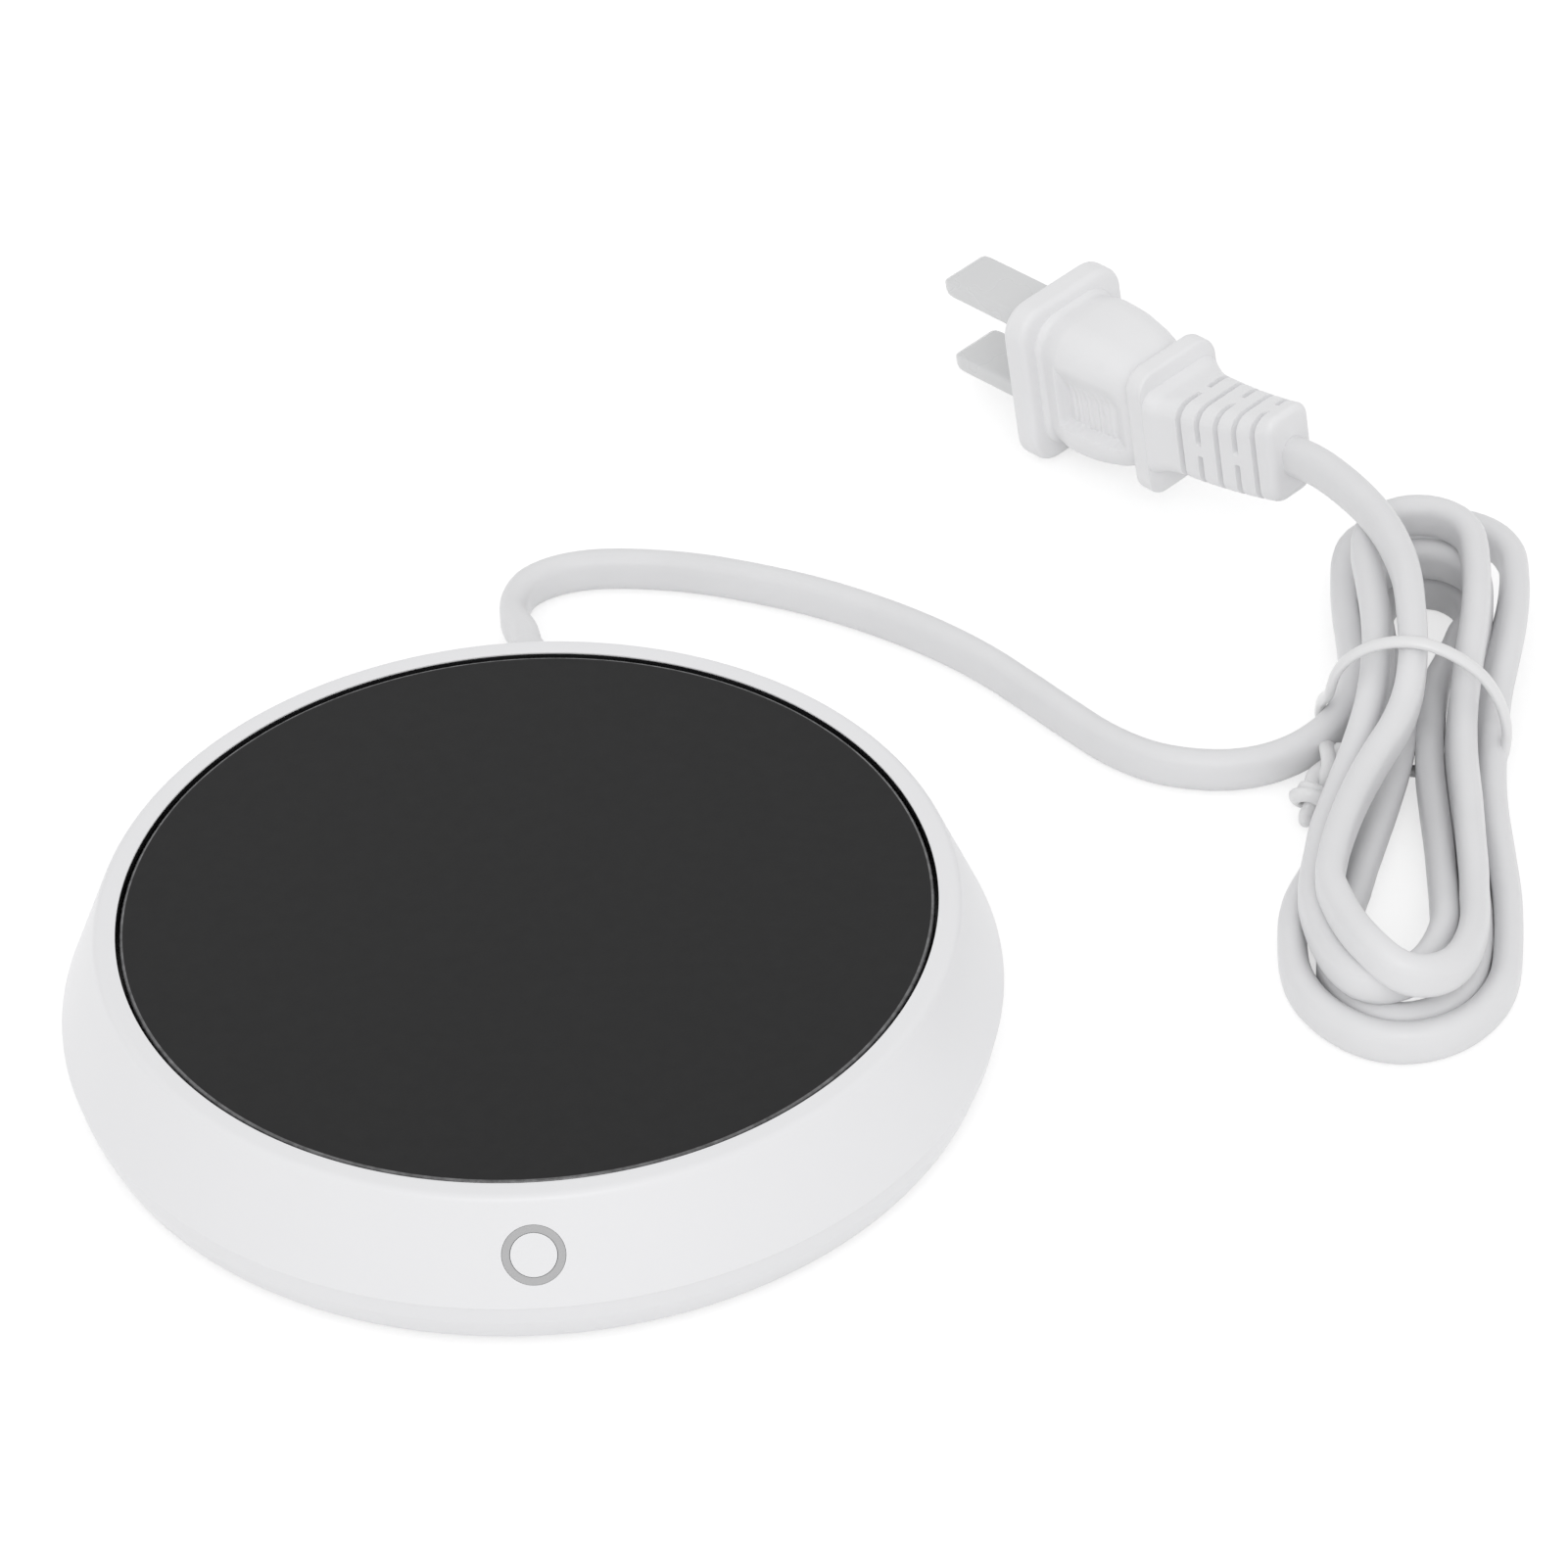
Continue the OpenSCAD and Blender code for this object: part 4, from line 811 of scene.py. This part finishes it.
def sleeve_rings(w_mid):
    """Rings of one sleeve: its inside from tip to plug, then its outside back to the tip."""
    outer = [(-0.15, 0.0), (-0.25, 0.12), (-0.5, 0.2), (-6, 0.2), (-12, 0.2), (-16.4, 0.2), (-17.4, 0.1),
             (-18.0, -0.15), (-18.35, -0.5), (-18.55, -0.9)]
    bore_v, bore_w, bore_r = 3.28, 0.85, 0.2
    skin_v, skin_w, tip_w, skin_r = 4.0, 1.45, 1.40, 0.7
    rings = []

    def ring(u, grow, v0, w0, r):
        corners = rounded([(-v0 - grow, -w0 - grow), (v0 + grow, -w0 - grow), (v0 + grow, w0 + grow),
                           (-v0 - grow, w0 + grow)], max(0.12, r + grow * 0.6), 5)
        return [plug_point(u, v, w_mid + w) for v, w in corners]

    for u in (-17.6, -12, -6, -0.15):
        rings.append(ring(u, 0, bore_v, bore_w, bore_r))
    for u, grow in outer:
        rings.append(ring(u, grow - 0.2, skin_v, skin_w if grow > 0 else tip_w, skin_r))
    return rings


def make_sleeves():
    """Two milky sleeves that cover the blades, open towards the plug and closed at the tips."""
    bm = bmesh.new()
    for side in (-1, 1):
        bm.from_mesh(grid_mesh("sleeve", sleeve_rings(side * BLADE_OFF)))
    both = bpy.data.meshes.new("blade_covers")
    bm.to_mesh(both)
    bm.free()
    sleeves = smooth(finished("blade_covers", both), 40)
    sleeves.data.materials.append(SLEEVE)
    return dress(sleeves, "sleeve_clear", "housing", "blade_sleeves")


# ---------------------------------------------------------------- tie

TIE_HALF_W, TIE_HALF_T = 1.0, 0.7
TIE_ACROSS = (0.25, 0.97, 0)    # the tie's flat width at its highest point
TIE_LOOP = [
    (106.4, 45.4, 2.6), (106.3, 46.8, 1.1), (105.9, 49.4, 0.84), (105.1, 51.4, 1.8), (104.8, 51.8, 4.4),
    (104.9, 50.6, 7.2), (105.2, 48.4, 9.6), (105.5, 46.8, 11.4), (105.8, 46.1, 13.4), (106.3, 45.9, 15.4),
    (107.3, 45.7, 17.3), (108.9, 45.3, 19.1), (111.2, 44.7, 20.7), (114.2, 43.9, 21.8), (117.2, 43.1, 22.0),
    (120.0, 42.4, 21.2), (122.8, 41.7, 19.6), (125.2, 41.1, 17.4), (126.9, 40.6, 14.6), (127.9, 40.3, 11.7),
    (128.3, 40.2, 9.1), (128.2, 40.2, 6.4), (127.5, 40.4, 3.3), (125.8, 40.8, 1.2), (122, 41.6, 0.84),
    (114, 43.4, 0.84), (109.4, 44.2, 1.2),
]
# Middle of the two ends that are twisted together
TWIST = [(106.0, 44.2, 4.5), (104.9, 42.0, 4.3), (103.7, 39.7, 4.0), (102.6, 37.2, 3.6), (102.1, 36.3, 3.3),
         (101.8, 34.9, 2.8), (101.6, 33.8, 2.0), (101.7, 33.1, 1.1)]


def strand_round(axis, phase, turns, radius, start=0.0, end=1.0, count=14):
    """Points of a strand wound round part of an axis; its radius goes from one number to another."""
    out = []
    for k in range(count + 1):
        t = start + (end - start) * k / count
        i = min(len(axis) - 2, int(t * (len(axis) - 1)))
        at = axis[i].lerp(axis[i + 1], t * (len(axis) - 1) - i)
        along = (axis[min(i + 2, len(axis) - 1)] - axis[i]).normalized()
        side = along.cross(Vector((0, 0, 1))).normalized()
        rise = side.cross(along)
        a = phase + 2 * math.pi * turns * k / count
        r = radius[0] + (radius[1] - radius[0]) * min(1, 2.2 * k / count)
        out.append(at + r * (math.cos(a) * side + math.sin(a) * rise))
    return out


def make_tie():
    """Coated wire tie: once round the hank, its ends twisted together."""
    axis = [Vector(p) for p in TWIST]
    first = strand_round(axis, 0.0, 1.0, (0.9, 0.9), 0, 0.55)
    wrap = strand_round(axis, 0.0, 1.4, (1.0, 1.9), 0.55, 0.7, 22)
    second = strand_round(axis, math.pi, 1.5, (0.9, 0.4), 0, 1.0, 24)
    points = list(reversed(wrap))[:-1] + list(reversed(first)) + TIE_LOOP + second
    mesh = swept_free("hank_wire_tie", smooth_path([tuple(p) for p in points], 0.5), tie_section())
    return dress(smooth(finished("hank_wire_tie", mesh), 50), "tie_white", "housing", "hank_tie")


def tie_section(n=16):
    return [(TIE_HALF_W * math.cos(2 * math.pi * k / n), TIE_HALF_T * math.sin(2 * math.pi * k / n))
            for k in range(n)]


def swept_free(name, path, section):
    """Flattened tube along a path that may point any way, with rounded ends."""
    tangents = [(path[min(i + 1, len(path) - 1)] - path[max(i - 1, 0)]).normalized() for i in range(len(path))]
    top = max(range(len(path)), key=lambda i: path[i].z)
    sides = [None] * len(path)
    for order in (range(top, len(path)), range(top, -1, -1)):
        side = Vector(TIE_ACROSS)
        for i in order:
            side = (side - side.dot(tangents[i]) * tangents[i]).normalized()
            sides[i] = side
    frames = [(p, t, side, t.cross(side)) for p, t, side in zip(path, tangents, sides)]
    ends = (0.15, 0.5, 0.8)
    rings = []
    for s in ends:
        p, t, a, b = frames[0]
        rings.append([p - t * TIE_HALF_T * math.sqrt(1 - s * s) + s * (x * a + y * b) for x, y in section])
    for p, t, a, b in frames:
        rings.append([p + x * a + y * b for x, y in section])
    for s in reversed(ends):
        p, t, a, b = frames[-1]
        rings.append([p + t * TIE_HALF_T * math.sqrt(1 - s * s) + s * (x * a + y * b) for x, y in section])
    return grid_mesh(name, rings)


def make_cord():
    """The whole cord, in one sweep from the body through the hank to the plug."""
    path = cord_route()
    cord = smooth(finished("mains_cord", swept("mains_cord", path, cord_section())), 60)
    dress(cord, "cord_pvc", "housing", "cord_lead", "cord_hank", "cord_tail")


# ---------------------------------------------------------------- room

def seen_white(material, strength):
    """Adds light that only the camera and reflections see, so that the ground reads as white."""
    tree = material.node_tree
    new, link = tree.nodes.new, tree.links.new
    rays, most, level = new("ShaderNodeLightPath"), new("ShaderNodeMath"), new("ShaderNodeMath")
    glow, both = new("ShaderNodeEmission"), new("ShaderNodeAddShader")
    most.operation = "MAXIMUM"
    level.operation = "MULTIPLY"
    level.inputs[1].default_value = strength
    link(rays.outputs["Is Camera Ray"], most.inputs[0])
    link(rays.outputs["Is Glossy Ray"], most.inputs[1])
    link(most.outputs[0], level.inputs[0])
    link(level.outputs[0], glow.inputs["Strength"])
    paint, dim = new("ShaderNodeMix"), tree.nodes["Principled BSDF"].inputs["Base Color"]
    paint.data_type = "RGBA"
    paint.inputs["B"].default_value = (0.5, 0.5, 0.5, 1)
    link(rays.outputs["Is Camera Ray"], paint.inputs["Factor"])
    link(dim.links[0].from_socket, paint.inputs["A"])
    link(paint.outputs["Result"], dim)
    link(tree.nodes["Principled BSDF"].outputs[0], both.inputs[0])
    link(glow.outputs[0], both.inputs[1])
    link(both.outputs[0], tree.nodes["Material Output"].inputs["Surface"])


def make_room():
    """White ground, even light from all round and one softbox in front."""
    mesh = bpy.data.meshes.new("floor")
    s = 6.0     # metres from the middle to the ground's edge
    mesh.from_pydata([(-s, -s, 0), (s, -s, 0), (s, s, 0), (-s, s, 0)], [], [(0, 1, 2, 3)])
    floor = bpy.data.objects.new("floor", mesh)
    scene.collection.objects.link(floor)
    paint = finish("floor_white", (0.84, 0.84, 0.84), (0.86, 0.86, 0.86), 2, 300, (0.8, 0.9), specular=0.0)
    seen_white(paint, 0.62)
    mesh.materials.append(paint)

    world = bpy.data.worlds.new("studio")
    world.use_nodes = True
    back = world.node_tree.nodes["Background"]
    back.inputs["Color"].default_value = (1, 1, 1, 1)
    back.inputs["Strength"].default_value = 0.80
    scene.world = world

    light = bpy.data.lights.new("front_softbox", "AREA")
    light.shape = "DISK"
    light.size = 1.2
    light.energy = 9.5
    softbox = bpy.data.objects.new("front_softbox", light)
    place, aimed_at = Vector((-0.02, -1.5, 1.4)), Vector((0.03, 0.03, 0))
    softbox.location = place
    softbox.rotation_euler = (aimed_at - place).to_track_quat("-Z", "Y").to_euler()
    scene.collection.objects.link(softbox)


set_camera()
dress_solids()
make_upper_shell()
make_feet()
make_plate()
boot = make_cord_boot()
plug = make_plug()
sleeves = make_sleeves()
tie = make_tie()
make_cord()
make_room()
